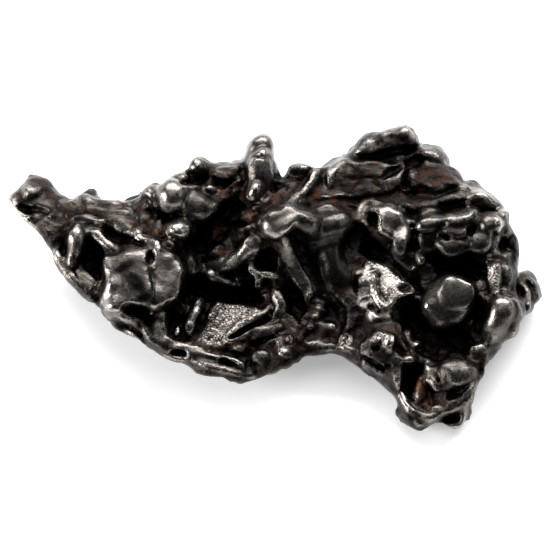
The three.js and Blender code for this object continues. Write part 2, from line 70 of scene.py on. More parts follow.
TAPER = 1.2  # length of the thinning ends of a rope or groove, or
TAPER_SHARE = 0.35  # this share of a short one
THIN_END = 0.45  # its width there
WOBBLE = 0.12  # how much its width varies along its length
WOBBLE_STEPS = 7
FALL = 8  # how steeply the ground meets a lump, pit or pad at its edge
STROKE_FALL = 6
REACH = 1.5  # how far round a feature the map is worked, in its own half widths
STROKE_REACH = 1.7
PAINT_EDGE = (1.05, 0.8)  # where the looks of a lump or pit set in and are full, in its own half widths
PATCH_EDGE = (1.2, 0.5)
STROKE_EDGE = (1.1, 0.7)
PAD_EDGE = (-0.1, 0.15)  # and of a pad, in millimetres inside its outline
# Of the looks, light is painted sheen and some bright bare metal; the last is painted shade and some grime.
LOOKS = ("polish", "rust", "orange", "grain", "calm", "light", "soot")

# ------------------------------------------------------------------ general form, in board millimetres

# Clockwise from the left tip: arm, knob cluster, fin, upper plateau, right side, foot, bay, bowl.
OUTLINE = [
    (-33.5, 9.2), (-33.2, 9.9), (-32.2, 10.4), (-31.6, 11.3), (-30.8, 12.1), (-29.8, 12.4), (-28.8, 12.1),
    (-27.4, 10.8), (-26.2, 10), (-25.2, 9.7), (-24.2, 10.3), (-21.9, 10.1), (-18.9, 9.2), (-17, 9.3),
    (-15.9, 10.7), (-14.9, 11.2), (-14, 11.2), (-13, 12.3), (-12.2, 12.9), (-11.1, 13.2), (-10.6, 14.4),
    (-9.6, 15.1), (-8.9, 15), (-8.2, 14.4), (-6.2, 14.3), (-4.2, 14.8), (-3.8, 16), (-3.3, 17.1),
    (-1.8, 17.9), (-0.7, 17.5), (-0.2, 16), (0.1, 13.9), (0.6, 11.9), (1.4, 12), (2.2, 13.6), (3.1, 14),
    (5.5, 13.6), (6.9, 14.1), (9.4, 15.5), (11.1, 17.4), (13.1, 18), (15, 18.75), (16.2, 18.9),
    (17.2, 18.1), (18.4, 16.2), (20.2, 16.1), (21.4, 14.9), (21.7, 13.5), (23, 12.9), (23.8, 11.6),
    (25, 11.5), (27.1, 9.8), (28.4, 8.9), (29, 7.7), (29.1, 6.1), (30.2, 4.2), (30.7, 2.2), (30.1, 0.5),
    (31.6, 0.4), (32.9, -1.1), (33.5, -2.8), (32.3, -4.1), (31, -5.1), (30.3, -5.8), (29.9, -7.4),
    (28.4, -8.1), (26.2, -10.7), (26, -12.1), (25, -14.2), (24.4, -16.1), (23.7, -18), (22.5, -19.2),
    (21.4, -19.2), (20, -18.5), (18.4, -18.8), (17.4, -19.1), (16, -18.5), (15.2, -17.2), (15.4, -16.1),
    (14.1, -14), (12.2, -12.4), (10.6, -11.9), (8.5, -10.1), (7.2, -9.8), (4.4, -10.1), (2.9, -10.4),
    (2, -11.4), (-0.4, -12.5), (-3.2, -13.2), (-6.4, -13), (-8.6, -12.8), (-10.4, -11.4), (-13.8, -10.2),
    (-15.4, -8.9), (-18, -7.6), (-19.8, -6.6), (-21.6, -4.4), (-24.4, -2.4), (-26.9, 0.2), (-28.1, 2.8),
    (-29.2, 4.8), (-31.4, 6.9),
]

# Heights over the floor of the top (a, b, z) and of the underside.
TOP = [
    (-33, 9.3, 8.5), (-30, 9, 10), (-26, 6, 10.5), (-22, 8, 11), (-27, 2, 8), (-23, -1, 7.5), (-18, 0, 12),
    (-13, 0, 12.5), (-20, -5, 6), (-15, -6, 7), (-14, 9, 12.5), (-9, 12, 13), (-4, 12, 13), (-5, 4, 9),
    (-8, -1, 5), (-5, -6, 6.5), (-10, -10, 5), (-3, -12, 4), (1, -9, 6.5), (1, 6.5, 15.5), (6, 6, 13.5),
    (3, 1, 9), (6, -3, 7.5), (8, 2, 9.5), (6, -9, 5), (3, 12, 12.5), (8, 12, 12.5), (13, 12, 12),
    (14, 17, 14), (20, 12, 11), (19, 15.5, 10.5), (12, 8, 12), (13, 0, 8.5), (18, 5, 11), (22, 8, 11.5),
    (26, 6, 11), (24, 4, 11.5), (22, 1, 7), (28, 9, 8), (29.5, 4, 7.5), (28.5, -3, 9), (26, -8, 7),
    (31.5, -2, 3.5), (20, -6, 5.5), (13, -9, 8), (13, -13, 5), (17, -14, 4), (22, -13, 7), (24, -12, 5),
    (19, -17, 4.5), (17, -18.5, 2), (22.5, -18.5, 2),
]
UNDER = [
    (-33, 9, 6.3), (-28, 5, 4.4), (-22, 6, 2.6), (-20, -5, 1.8), (-13, 2, -2.2), (-8, -8, -1.6),
    (-2, 12, 2.6), (-1, 0, 0.6), (0, -11, 1.2), (8, 11, 2.2), (8, -8, 2), (15, 16, 6), (18, 7, -2.6),
    (24, 9, 2), (30, 0, 1), (20, -5, 0.6), (19, -16, -2.4), (26, -8, 1.6),
]


# ------------------------------------------------------------------ small tools

def soft_max(x, y, k):
    t = np.clip(0.5 + 0.5 * (x - y) / k, 0, 1)
    return y + (x - y) * t + k * t * (1 - t)


def soft_min(x, y, k):
    return -soft_max(-x, -y, k)


def smooth_step(low, high, x):
    t = np.clip((x - low) / (high - low), 0, 1)
    return t * t * (3 - 2 * t)


def blurred(field, cells, axis):
    """A running mean over 2 * cells + 1 samples along one axis."""
    padded = np.concatenate([np.repeat(np.take(field, [0], axis), cells + 1, axis), field,
                             np.repeat(np.take(field, [-1], axis), cells, axis)], axis)
    total = np.cumsum(padded, axis, dtype=np.float64)
    size = 2 * cells + 1
    late = np.take(total, range(size, total.shape[axis]), axis)
    early = np.take(total, range(0, total.shape[axis] - size), axis)
    return ((late - early) / size).astype(np.float32)


def smoothed(field, cells, times=2):
    for _ in range(times):
        for axis in range(field.ndim):
            field = blurred(field, cells, axis)
    return field


def pairs(points):
    """Points given as a, b, a, b and so on, one to a row."""
    return np.reshape(np.array(points, float), (-1, 2))


def spline(points, step=0.3):
    """Points about a step apart on a Catmull-Rom curve through the given points."""
    p = pairs(points)
    p = np.vstack([2 * p[0] - p[1], p, 2 * p[-1] - p[-2]])
    out = []
    for i in range(1, len(p) - 2):
        p0, p1, p2, p3 = p[i - 1:i + 3]
        count = max(2, int(np.hypot(*(p2 - p1)) / step) + 1)
        t = np.linspace(0, 1, count, endpoint=False)[:, None]
        out.append(0.5 * (2 * p1 + (p2 - p0) * t + (2 * p0 - 5 * p1 + 4 * p2 - p3) * t ** 2
                          + (3 * p1 - p0 - 3 * p2 + p3) * t ** 3))
    return np.vstack(out + [p[-2:-1]])


def bspline_weights(coordinates, wavelength):
    """For each coordinate, the cubic B-spline weight of each lattice point a wavelength apart."""
    start = coordinates[0] - 2 * wavelength
    count = int((coordinates[-1] - start) / wavelength) + 4
    x = np.abs((coordinates[:, None] - start) / wavelength - np.arange(count)[None, :])
    near = 2 / 3 - x ** 2 + x ** 3 / 2
    far = np.clip(2 - x, 0, None) ** 3 / 6
    return np.where(x < 1, near, far).astype(np.float32)


def noise(axes, wavelength, rng):
    """Smooth noise of unit spread, sampled on the grid of the given axes."""
    weights = [bspline_weights(axis, wavelength) for axis in axes]
    field = rng.standard_normal([w.shape[1] for w in weights]).astype(np.float32)
    for axis, w in enumerate(weights):
        field = np.moveaxis(np.tensordot(w, field, (1, axis)), 0, axis)
    return field / field.std()


def dome(rho, flat):
    """How high a lump is, rho half widths from its middle. flat is 0 for a ball's top, 1 for a planed one."""
    power = 2 + 4 * flat
    return (1 - np.clip(rho, 0, 1) ** power) ** (1 / power)


def rounded(depth, radius):
    """The rise of a quarter circle from 0 at the edge to 1 a radius inside it."""
    return np.sqrt(1 - (1 - np.clip(depth / radius, 0, 1)) ** 2)


def polygon_distance(points, A, B):
    """Distance to a closed outline, positive inside it."""
    nearest = np.full(A.shape, 1e9, np.float32)
    inside = np.zeros(A.shape, bool)
    for (pa, pb), (qa, qb) in zip(points, np.roll(points, -1, 0)):
        ea, eb = qa - pa, qb - pb
        t = np.clip(((A - pa) * ea + (B - pb) * eb) / (ea * ea + eb * eb + 1e-12), 0, 1)
        nearest = np.minimum(nearest, np.hypot(A - pa - t * ea, B - pb - t * eb))
        if pb != qb:
            inside ^= ((pb > B) != (qb > B)) & (A < pa + ea * (B - pb) / eb)
    return np.where(inside, nearest, -nearest)


# ------------------------------------------------------------------ the relief

class Relief:
    """The height map h over the board, and maps from 0 to 1 of how each spot looks.

    Curves and outlines are given as pairs, or as a, b, a, b and so on. lift and depth count from the ground.
    """

    def __init__(self):
        self.a = np.arange(*SPAN_A, MAP_STEP, dtype=np.float32)
        self.b = np.arange(*SPAN_B, MAP_STEP, dtype=np.float32)
        self.A, self.B = np.meshgrid(self.a, self.b, indexing="ij")
        self.outline_depth = polygon_distance(spline(OUTLINE + OUTLINE[:1])[:-1], self.A, self.B)
        self.rng = np.random.default_rng(SEED)
        for grid in (self.A, self.B):
            for wavelength, sway in SWAY:
                grid += sway * noise((self.a, self.b), wavelength, self.rng)
        self.h = self.spread(TOP, TOP_REACH)
        self.under = self.spread(UNDER, UNDER_REACH)
        self.looks = {name: np.zeros_like(self.h) for name in LOOKS}
        self.settle()

    def spread(self, points, reach):
        """A map of h that passes smoothly near the given heights over the floor."""
        total = np.zeros(self.A.shape)
        weight = np.full(self.A.shape, 1e-9)
        for a, b, z in points:
            w = np.exp(-((self.A - a) ** 2 + (self.B - b) ** 2) / (2 * reach ** 2)) + 1e-7
            total += w * z
            weight += w
        return ((total / weight - self.B * UP) / OUT).astype(np.float32)

    def settle(self):
        """Takes the surface as it is now for the ground that the next features stand on."""
        self.ground = smoothed(self.h, 3)

    def window(self, a, b, reach):
        i = np.searchsorted(self.a, [a - reach - SWAY_ROOM, a + reach + SWAY_ROOM])
        j = np.searchsorted(self.b, [b - reach - SWAY_ROOM, b + reach + SWAY_ROOM])
        return slice(*i), slice(*j)

    def ground_at(self, a, b):
        i = np.clip(((np.asarray(a) - self.a[0]) / MAP_STEP).round().astype(int), 0, len(self.a) - 1)
        j = np.clip(((np.asarray(b) - self.b[0]) / MAP_STEP).round().astype(int), 0, len(self.b) - 1)
        return self.ground[i, j]

    def paint(self, where, cover, looks):
        for name, value in looks.items():
            layer = self.looks[name]
            layer[where] += (value - layer[where]) * cover

    def local(self, a, b, ra, rb, turn):
        """The part of the map round an oval, and the distance from its middle in its own half widths."""
        where = self.window(a, b, REACH * max(ra, rb))
        c, s = math.cos(math.radians(turn)), math.sin(math.radians(turn))
        u = ((self.A[where] - a) * c + (self.B[where] - b) * s) / ra
        v = ((self.B[where] - b) * c - (self.A[where] - a) * s) / rb
        return where, np.hypot(u, v)

    def knob(self, a, b, ra, rb=None, lift=None, turn=0, flat=0.0, side=None, soft=0.2, tilt=(0, 0), **looks):
        """A lump. side is the height of its dome, and tilt the slope of its top along a and b."""
        rb = rb or ra
        lift = 0.8 * min(ra, rb) if lift is None else lift
        side = side or max(0.9 * min(ra, rb), lift + 0.3)
        where, rho = self.local(a, b, ra, rb, turn)
        top = self.ground_at(a, b) + lift
        slope = tilt[0] * (self.A[where] - a) + tilt[1] * (self.B[where] - b)
        cap = top + slope - side * (1 - dome(rho, flat)) - FALL * np.clip(rho - 1, 0, None)
        self.paint(where, smooth_step(*PAINT_EDGE, rho), {"calm": 0.6, "rust": 0.0, "soot": 0.0, **looks})
        self.h[where] = soft_max(self.h[where], cap, soft)

    def pit(self, a, b, ra, rb=None, depth=1.0, turn=0, flat=0.0, soft=0.25, **looks):
        """A hollow, which is a lump upside down."""
        rb = rb or ra
        where, rho = self.local(a, b, ra, rb, turn)
        side = depth + 0.8
        cup = self.ground_at(a, b) - depth + side * (1 - dome(rho, flat)) + FALL * np.clip(rho - 1, 0, None)
        # Its inside is painted near-black: painted shade.
        self.paint(where, smooth_step(*PAINT_EDGE, rho), {"polish": 0.0, "calm": 0.0, "soot": 0.9, **looks})
        self.h[where] = soft_min(self.h[where], cup, soft)

    def paint_patch(self, a, b, ra, rb, turn=0, **looks):
        """Colours an oval patch that fades out at its edge, and leaves its shape alone."""
        # Used for rust, and for painted shade and painted sheen.
        where, rho = self.local(a, b, ra, rb, turn)
        self.paint(where, smooth_step(*PATCH_EDGE, rho), looks)

    def chain(self, points, radius):
        """Samples along a curve: a, b, the radius, which tapers off at both ends, and its share."""
        track = spline(points)
        step = np.hypot(*np.diff(track, axis=0).T)
        along = np.concatenate([[0], np.cumsum(step)])
        taper = min(TAPER, TAPER_SHARE * along[-1])
        ends = np.clip(np.minimum(along, along[-1] - along) / taper, 0, 1)
        size = THIN_END + (1 - THIN_END) * np.sqrt(ends)
        wobble = self.rng.standard_normal(len(along) // WOBBLE_STEPS + 3)
        size *= 1 + WOBBLE * np.interp(np.arange(len(along)) / WOBBLE_STEPS, np.arange(len(wobble)), wobble)
        return track[:, 0], track[:, 1], radius * size, size

    def stroke(self, points, radius, lift, sign, soft, looks):
        """A round bead along a curve, raised where sign is 1 and sunk where it is -1."""
        a, b, r, size = self.chain(points, radius)
        base = self.ground_at(a, b)
        if len(base) > 4:
            base = np.convolve(np.pad(base, 2, mode="edge"), np.ones(5) / 5, "valid")
        i = np.searchsorted(self.a, [a.min() - 2 * radius - 1.5, a.max() + 2 * radius + 1.5])
        j = np.searchsorted(self.b, [b.min() - 2 * radius - 1.5, b.max() + 2 * radius + 1.5])
        where = slice(*i), slice(*j)
        A, B = self.A[where], self.B[where]
        cap = np.full(A.shape, -1e3, np.float32)
        cover = np.zeros(A.shape, np.float32)
        for pa, pb, pr, ps, ph in zip(a, b, r, size, base):
            near = self.window(pa, pb, STROKE_REACH * pr)
            sub = tuple(slice(max(n.start - k, 0), max(n.stop - k, 0)) for n, k in zip(near, (i[0], j[0])))
            rho = np.hypot(A[sub] - pa, B[sub] - pb) / pr
            bead = np.sqrt(np.clip(1 - rho ** 2, 0, None))
            height = sign * ph + lift * ps - pr * (1 - bead) - STROKE_FALL * np.clip(rho - 1, 0, None)
            cap[sub] = np.maximum(cap[sub], height)
            cover[sub] = np.maximum(cover[sub], smooth_step(*STROKE_EDGE, rho))
        self.paint(where, cover, looks)
        if sign > 0:
            self.h[where] = soft_max(self.h[where], cap, soft)
        else:
            self.h[where] = soft_min(self.h[where], -cap, soft)

    def rope(self, points, radius=0.5, lift=None, soft=0.35, **looks):
        """A raised ridge with a round back."""
        lift = 0.75 * radius if lift is None else lift
        radius *= ROPE_WIDTH
        looks = {"polish": 0.7, "calm": 0.7, "rust": 0.0, "soot": 0.0, **looks}
        self.stroke(points, radius, lift, 1, soft, looks)

    def groove(self, points, radius=0.4, depth=None, soft=0.12, **looks):
        depth = radius if depth is None else depth
        # Its floor is painted near-black: painted shade.
        self.stroke(points, radius, depth, -1, soft, {"polish": 0.0, "soot": 0.7, **looks})

    def pad(self, points, lift=0.5, tilt=(0.0, -0.3), edge=0.6, rough=0.0, soft=0.15, **looks):
        """A flat-topped pad with rounded sides that stands on the ground. tilt is its slope along a and b."""
        ring = pairs(points)
        centre = ring.mean(0)
        where = self.window(*centre, np.abs(ring - centre).max() + 1.5)
        A, B = self.A[where], self.B[where]
        depth = polygon_distance(spline(np.vstack([ring, ring[:1]]))[:-1], A, B)
        base = self.ground[where][depth > 0].mean()
        plane = base + lift + tilt[0] * (A - centre[0]) + tilt[1] * (B - centre[1])
        plane = plane - edge * (1 - rounded(depth, edge))
        self.h[where] += np.minimum(plane - self.h[where], 0) * smooth_step(0, edge, depth)
        self.h[where] = soft_max(self.h[where], plane + FALL * np.minimum(depth, 0), soft)
        looks = {"calm": 1.0 - rough, "rust": 0.0, "soot": 0.0, **looks}
        self.paint(where, smooth_step(*PAD_EDGE, depth), looks)


def each(tool, names, *rows):
    """Uses a tool of the relief once for each row. The last values of a row go by the given names."""
    names = names.split()
    for row in rows:
        plain = len(row) - len(names)
        tool(*row[:plain], **dict(zip(names, row[plain:])))


# ------------------------------------------------------------------ main masses and cavities

def rust_and_shade_patches(r):
    # Broad patches of rust, and of near-black painted shade and grime.
    each(r.paint_patch, "turn rust soot",
        (-28.5, 7, 6.5, 3.8, -35, 0.7, 0.9),
        (-21.5, 6, 6, 3.5, -10, 0.6, 0.65),
        (-6, 11, 4.5, 4.5, 0, 0.7, 0.4),
        (-4, 6.5, 6.5, 3, 25, 0.8, 0.4),
        (7, 10, 9, 3, 5, 0.7, 0.3),
        (19.5, 11, 6, 3.5, -15, 0.7, 0.45),
        (5, 0, 7, 9, 0, 0.2, 0.45),
        (12, -11, 4, 4, 0, 0.2, 0.5),
        (23, 0, 7, 9, 0, 0.4, 0.4))
    r.paint_patch(-16, -6, 8, 3, -30, rust=0.4, soot=0.4)
    r.paint_patch(0, -9, 8, 4, rust=0.4, soot=0.4)


def masses(r):
    r.knob(-30.1, 10.8, 1.9, 1.3, 1, -20, polish=0.3)
    r.knob(-11.9, 11.9, 1.7, 1.3, 0.7, 20)
    r.knob(-5.5, 12.5, 3, 2.2, 0.4, 10, soft=0.6, rust=0.3)
    r.knob(14.2, 16.5, 4.2, 1.8, 1.4, 14, soft=0.4)
    r.knob(20, 14.8, 1.6, 1.3, 1, polish=0.4)
    r.knob(25.7, 9.1, 1.9, 1.7, 1.3, flat=0.4, polish=0.3)
    r.knob(27.9, 8, 1.1, 1.5, 0.2, 15)
    r.knob(29.2, 3.4, 1.4, 2.4, 1.2, polish=0.2, calm=1)
    r.knob(31.7, -1.9, 1.6, 2.2, 0.5, 10)
    r.knob(13, -4.4, 2.2, 1.8, 0.7)
    r.knob(22.2, -11.9, 2.3, 1.6, 0.9)
    r.knob(16.5, -17.5, 1.5, 1.5, 0.5)
    r.knob(22.2, -17.8, 1.8, 1.3, 0.3)
    r.knob(-15.8, -0.5, 5.6, 4.4, 1.2, -8, soft=0.8, flat=0.4, tilt=(0, -0.2))
    r.knob(-11, 9.4, 3.4, 2.8, 1.2, -20, soft=0.5)
    r.knob(1.2, 6, 3.2, 2, 1.4, 8, soft=0.8, calm=1)
    r.knob(6.6, 5.6, 3.4, 2, 0.9, -5, soft=0.8, calm=1)
    r.knob(7.6, 2.4, 2.2, 4.6, 1.2, 18, soft=0.8, calm=1, soot=0.2)
    r.knob(14, 6.6, 2.9, 2.7, 1.6, -30, soft=0.4, calm=0.8)
    r.knob(15.6, 4.3, 1.4, 1.8, 1.2, soft=0.3)
    r.knob(22.6, 4.9, 5.4, 3, 2.2, soft=0.6, flat=0.2, side=3.4, calm=0.8, soot=0.3)
    r.knob(20, 9, 5, 1.8, 0.7, 4, soft=0.5)
    r.knob(28, 0.2, 2.3, 2.7, 2.3, -10, soft=0.3, flat=0.2)
    r.knob(28.3, -4.9, 1.9, 3.1, 2.4, -10, soft=0.3, flat=0.1, polish=0.6, calm=1)


def cavities(r):
    r.pit(-22.4, 2.3, 1.6, 2.8, 2.4, 8)
    r.pit(-13.4, 7.7, 1.8, 0.8, 1.6)
    r.pit(-6.2, 7.4, 2.6, 1.5, 1, 15, soft=0.5, rust=0.6, soot=0.4)
    r.pit(-9, 4, 1.5, 2, 1.6, 20, soft=0.4)
    r.pit(-1.5, 1.9, 1.4, 1.5, 1.7, soft=0.4, rust=0.7, soot=0.5)
    r.pit(-0.9, -0.7, 1.2, 1.1, 1.5, soft=0.4, rust=0.5, soot=0.5)
    r.pit(-6, -1.5, 4.6, 1.9, 2.6, -6, soft=0.3)
    r.pit(-9.9, -1.6, 1.2, 2.2, 2.2, -10, soft=0.3)
    r.pit(-11.6, -5.6, 1.4, 2.4, 1.3, -8, soft=0.3)
    r.pit(3.4, 3.4, 1.4, 2.5, 0.5, 20, soft=1, calm=1, soot=1)
    r.pit(2.3, -3.4, 1.6, 3.8, 2, 8, soft=0.5)
    r.pit(6.6, -4.4, 2.2, 3.4, 1.6, 15, soft=0.6, calm=0.4)
    r.pit(0.7, 10.8, 1, 0.9, 2, soft=0.4)
    r.pit(10.6, 4.8, 1.3, 2.2, 1.5, 12, soft=0.5, calm=0.5, soot=1)
    r.pit(12.6, 3.4, 2.2, 1.3, 2, -30, soft=0.4, calm=0.3, soot=1)
    r.pit(14, -1, 3.6, 3.2, 0.8, soft=0.3, flat=0.6, soot=0.3)
    r.pit(22.6, 0.6, 4.6, 1.4, 2, soft=0.6, calm=0.5)
    r.pit(17.5, 3.2, 1, 1, 1.2, calm=0.5)
    r.pit(20.8, -7.9, 4.4, 2.6, 2.4, -5, rust=0.3)
    r.pit(25.4, -4.6, 1.4, 3.4, 2.2, soft=0.3, rust=0.3)
    r.pit(17.4, -6.2, 1.5, 2.4, 2.2, soft=0.3)
    r.pit(17, -12.9, 1.7, 2.3, 2.2, -10, rust=0.2)
    r.pit(25.3, -11.4, 0.7, 0.8, 0.8)
    r.pit(26.8, -8.9, 0.8, 1.1, 0.9, -30)
    r.pit(21.9, -17.6, 1.6, 0.8, 1.3)


def standing_parts(r):
    """The fin and the round polished knob: what stands highest off the rest."""
    r.knob(-1.8, 12.6, 1.8, 3.5, 3.3, soft=0.2, side=2.4, polish=0.3, calm=0.8, soot=0.2)
    r.knob(-2.1, 10.4, 1.2, 1.7, 2.9, soft=0.4, polish=0.6, calm=1)
    # The fin's head carries a little painted sheen.
    r.knob(-2, 16, 2, 1.9, 3, soft=0.15, flat=0.2, side=2, polish=0.4, calm=1, light=0.15)
    r.settle()
    # The knob carries painted sheen.
    r.knob(21.6, -3.4, 3.3, 3.8, 3.4, -8, soft=0.3, flat=0.3, side=3.4, polish=0.5, calm=1, light=0.3)
    r.knob(22.3, -2.3, 2.3, 2.5, 3.7, -8, soft=0.6, flat=0.3, side=1.2, polish=0.3, calm=1, light=0.45)
    r.settle()


# ------------------------------------------------------------------ regions, from left to right

def left_arm(r):
    each(r.rope, "soft polish rust soot",
        ((-33.2, 9.1, -31.5, 7.6, -29.8, 6, -28.9, 4.8), 0.75, 0.5, 0.4, 0.6, 0.2, 0.3),
        ((-32.8, 10, -30.8, 9.6, -28.5, 9.4, -26.4, 9.2), 0.7, 0.3, 0.5, 0.3, 0.4, 0.3))
    r.groove((-32, 9, -29.8, 8.6, -27.6, 8.2), 0.5, 0.4, soft=0.3, rust=0.7, soot=0.3)
    r.knob(-30.8, 10.9, 1.1, 0.9, 0.4, polish=0.6)
    r.rope((-29.8, 8.2, -27.7, 7.7, -26.4, 7.2), 0.4, polish=0.7)
    r.knob(-26, 7.9, 0.7, 0.7, 0.4, polish=0.6)
    r.knob(-27.4, 6.6, 0.8, 0.6, 0.4, polish=0.5, rust=0.3)
    r.rope((-25.6, 6.9, -24.2, 7.3, -22.4, 7, -21, 6.2), 0.5, 0.3)
    r.pit(-26.3, 4.4, 0.8, 1.6, 0.8, rust=0.6, soot=0.6)
    r.rope((-24.1, 6.2, -24.3, 4.6, -24.9, 2.8, -25.4, 1.2), 0.85, 1.6, soft=0.3, polish=0.9, calm=0.9)
    r.rope((-27.2, 3.2, -26.4, 1.7, -25.4, 1), 0.55, 0.6, polish=0.8)
    r.rope((-24.6, 1, -23.9, 0, -22.6, -1), 0.6, 0.4)
    r.rope((-29.2, 4.6, -28, 2.6, -26.8, 0.3, -25, -1.4, -22.8, -3.1), 0.8, 0.4, soft=0.5, polish=0.35,
           calm=0.4, soot=0.2)
    r.rope((-27.4, 2.4, -26, 0.4, -24.2, -1, -22.4, -2.4), 0.5, 0.4, calm=0.4)
    for a, b, size in [(-24, 9.5, 0.9), (-22, 9.1, 0.8), (-19.8, 8.7, 0.7), (-18.3, 8.4, 0.65)]:
        r.knob(a, b, size, lift=0.4, polish=0.4)
    r.knob(-22.2, -1.2, 0.8, 0.6, 0.4, polish=0.5)
    r.rope((-23.2, 5.6, -21.6, 5, -20.5, 4, -19.6, 3.4), 0.55, 0.5)
    r.groove((-21, 6, -18.6, 5, -16.4, 3.9), 0.8, 0.8, rust=0.8)
    r.rope((-20.4, 7, -18.5, 5.9, -17, 5, -16.4, 4.2), 0.5, 0.5, polish=1)
    r.rope((-22.5, 8.3, -19.5, 7.6, -17.4, 7.2), 0.5, 0.3, calm=0.4)


def twin_lobes(r):
    left_plate = [
        (-20.6, 1.5), (-20, 2.5), (-18.5, 3.1), (-16.5, 3.2), (-15.6, 2.3), (-15.5, 1), (-14.8, -0.6),
        (-14.9, -2.3), (-15.6, -3.3), (-16.9, -4.2), (-18.5, -4.7), (-20.2, -4.7), (-21.1, -4),
        (-20.6, -2.7), (-20, -1.5), (-20.2, 0.2),
    ]
    right_plate = [
        (-15.4, 2.7), (-14.4, 2.9), (-12.3, 2.5), (-10.8, 1.5), (-10.6, -0.2), (-11.1, -1.9), (-12.3, -3.3),
        (-13.5, -3.8), (-14.6, -2.9), (-14.9, -1.5), (-15.2, 0.6),
    ]
    # The pads carry a little painted sheen.
    r.pad(left_plate, 0.7, (0.06, -0.2), 1.2, soft=0.4, rough=0.3, polish=0.6, light=0.2)
    r.pad(right_plate, 1, (-0.04, -0.25), 1.2, soft=0.4, rough=0.3, polish=0.5, light=0.28)
    r.settle()
    # The rims carry painted highlights.
    r.rope((-20.4, 2.2, -20, 0.3, -20.2, -1.8, -21, -3.6), 0.8, 0.7, soft=0.4, polish=1, calm=1, light=0.5)
    r.rope((-21.2, -4.3, -20, -4.9, -18.2, -4.7, -17, -3.8), 0.6, 0.5, soft=0.3, polish=1, light=0.4)
    r.pit(-15.5, 2.1, 0.8, 1.2, 0.8, -15, soft=0.4)
    r.groove((-15.6, 0.8, -15.2, -0.8, -15, -2.8), 0.4, 0.5, soft=0.3, soot=0.6)
    # Near-black patches on the left plate: painted shade and grime.
    r.paint_patch(-17.4, -0.8, 2.2, 0.9, -50, polish=0.2, light=0, soot=0.6)
    r.paint_patch(-18.6, 1.2, 1.6, 0.6, 25, polish=0.2, light=0, soot=0.5)
    r.paint_patch(-16.3, -2.9, 1, 0.6, 30, polish=0.2, light=0, soot=0.5)
    r.rope((-11, 1.2, -11.2, -0.8, -12, -2.4), 0.5, 0.2, soft=0.4, polish=1)
    r.rope((-15.2, -3.7, -14.4, -3.9, -13.9, -3.5), 0.35, polish=0.9)
    r.rope((-11.4, -2.3, -12.3, -3.1, -13, -4), 0.35, polish=0.8)
    r.rope((-16.1, 4.6, -15.2, 3.9, -14.8, 3.2, -14.4, 2.4), 0.6, polish=1)
    r.rope((-10.6, 2.9, -9.9, 1.6, -9.8, 0.4), 0.7, 0.9, polish=0.9)
    r.rope((-9.9, 1.5, -8.1, 0.6), 0.6, 0.8)
    r.knob(-13.2, 3.9, 1.3, 0.8, 0.6, polish=0.6)


def lower_left_rims(r):
    r.pit(-16.4, -5.2, 2.2, 1, 1.8, -18)
    r.groove((-20, -5.8, -16.6, -7.2, -12.9, -9.3), 0.6, 1.5)
    r.rope((-19.4, -5.1, -16.6, -6.1, -15, -7.2, -12.6, -8.9, -10, -9.9, -7, -10.6, -4.6, -11, -3.1, -11.8),
           0.45, 0.7, polish=0.5)
    r.rope((-14.3, -5.8, -13.4, -7.7, -12, -8.5, -10.2, -9.2, -8.5, -9.7), 0.4, 0.7, polish=0.9)
    r.rope((-18.4, -7.1, -15.4, -8.8, -13, -9.8, -10.9, -10.5, -9, -11.7, -6, -12.4, -2.6, -12.6), 0.6, 0.3,
           polish=0.7)
    r.pit(-11.8, -9.5, 0.9, 0.45, 1.6, -20)
    r.pit(-5.5, -11.25, 1.3, 0.42, 1.5, -12)
    r.knob(-8.6, -10.9, 2.2, 0.7, 0.2, -22, polish=0.4)
    r.rope((-6, -12.1, -5, -12.5, -4, -12.2), 0.3, polish=0.7)
    r.knob(-14.9, -4.7, 0.6, polish=0.6)
    # A painted highlight on this rope.
    r.rope((-13.5, -4.6, -13.7, -6.2, -13.2, -7.9), 0.6, polish=0.4, light=0.4)
    r.knob(-11.2, -4.2, 0.9, 0.9, 0.5, polish=0.3)
    r.rope((-11.9, -7.6, -11.8, -6.6), 0.4, 0.9, polish=0.7)
    r.rope((-10.6, -7.2, -9.7, -5, -8.4, -2.8), 0.5, 1.6, soft=0.15, polish=0.6)


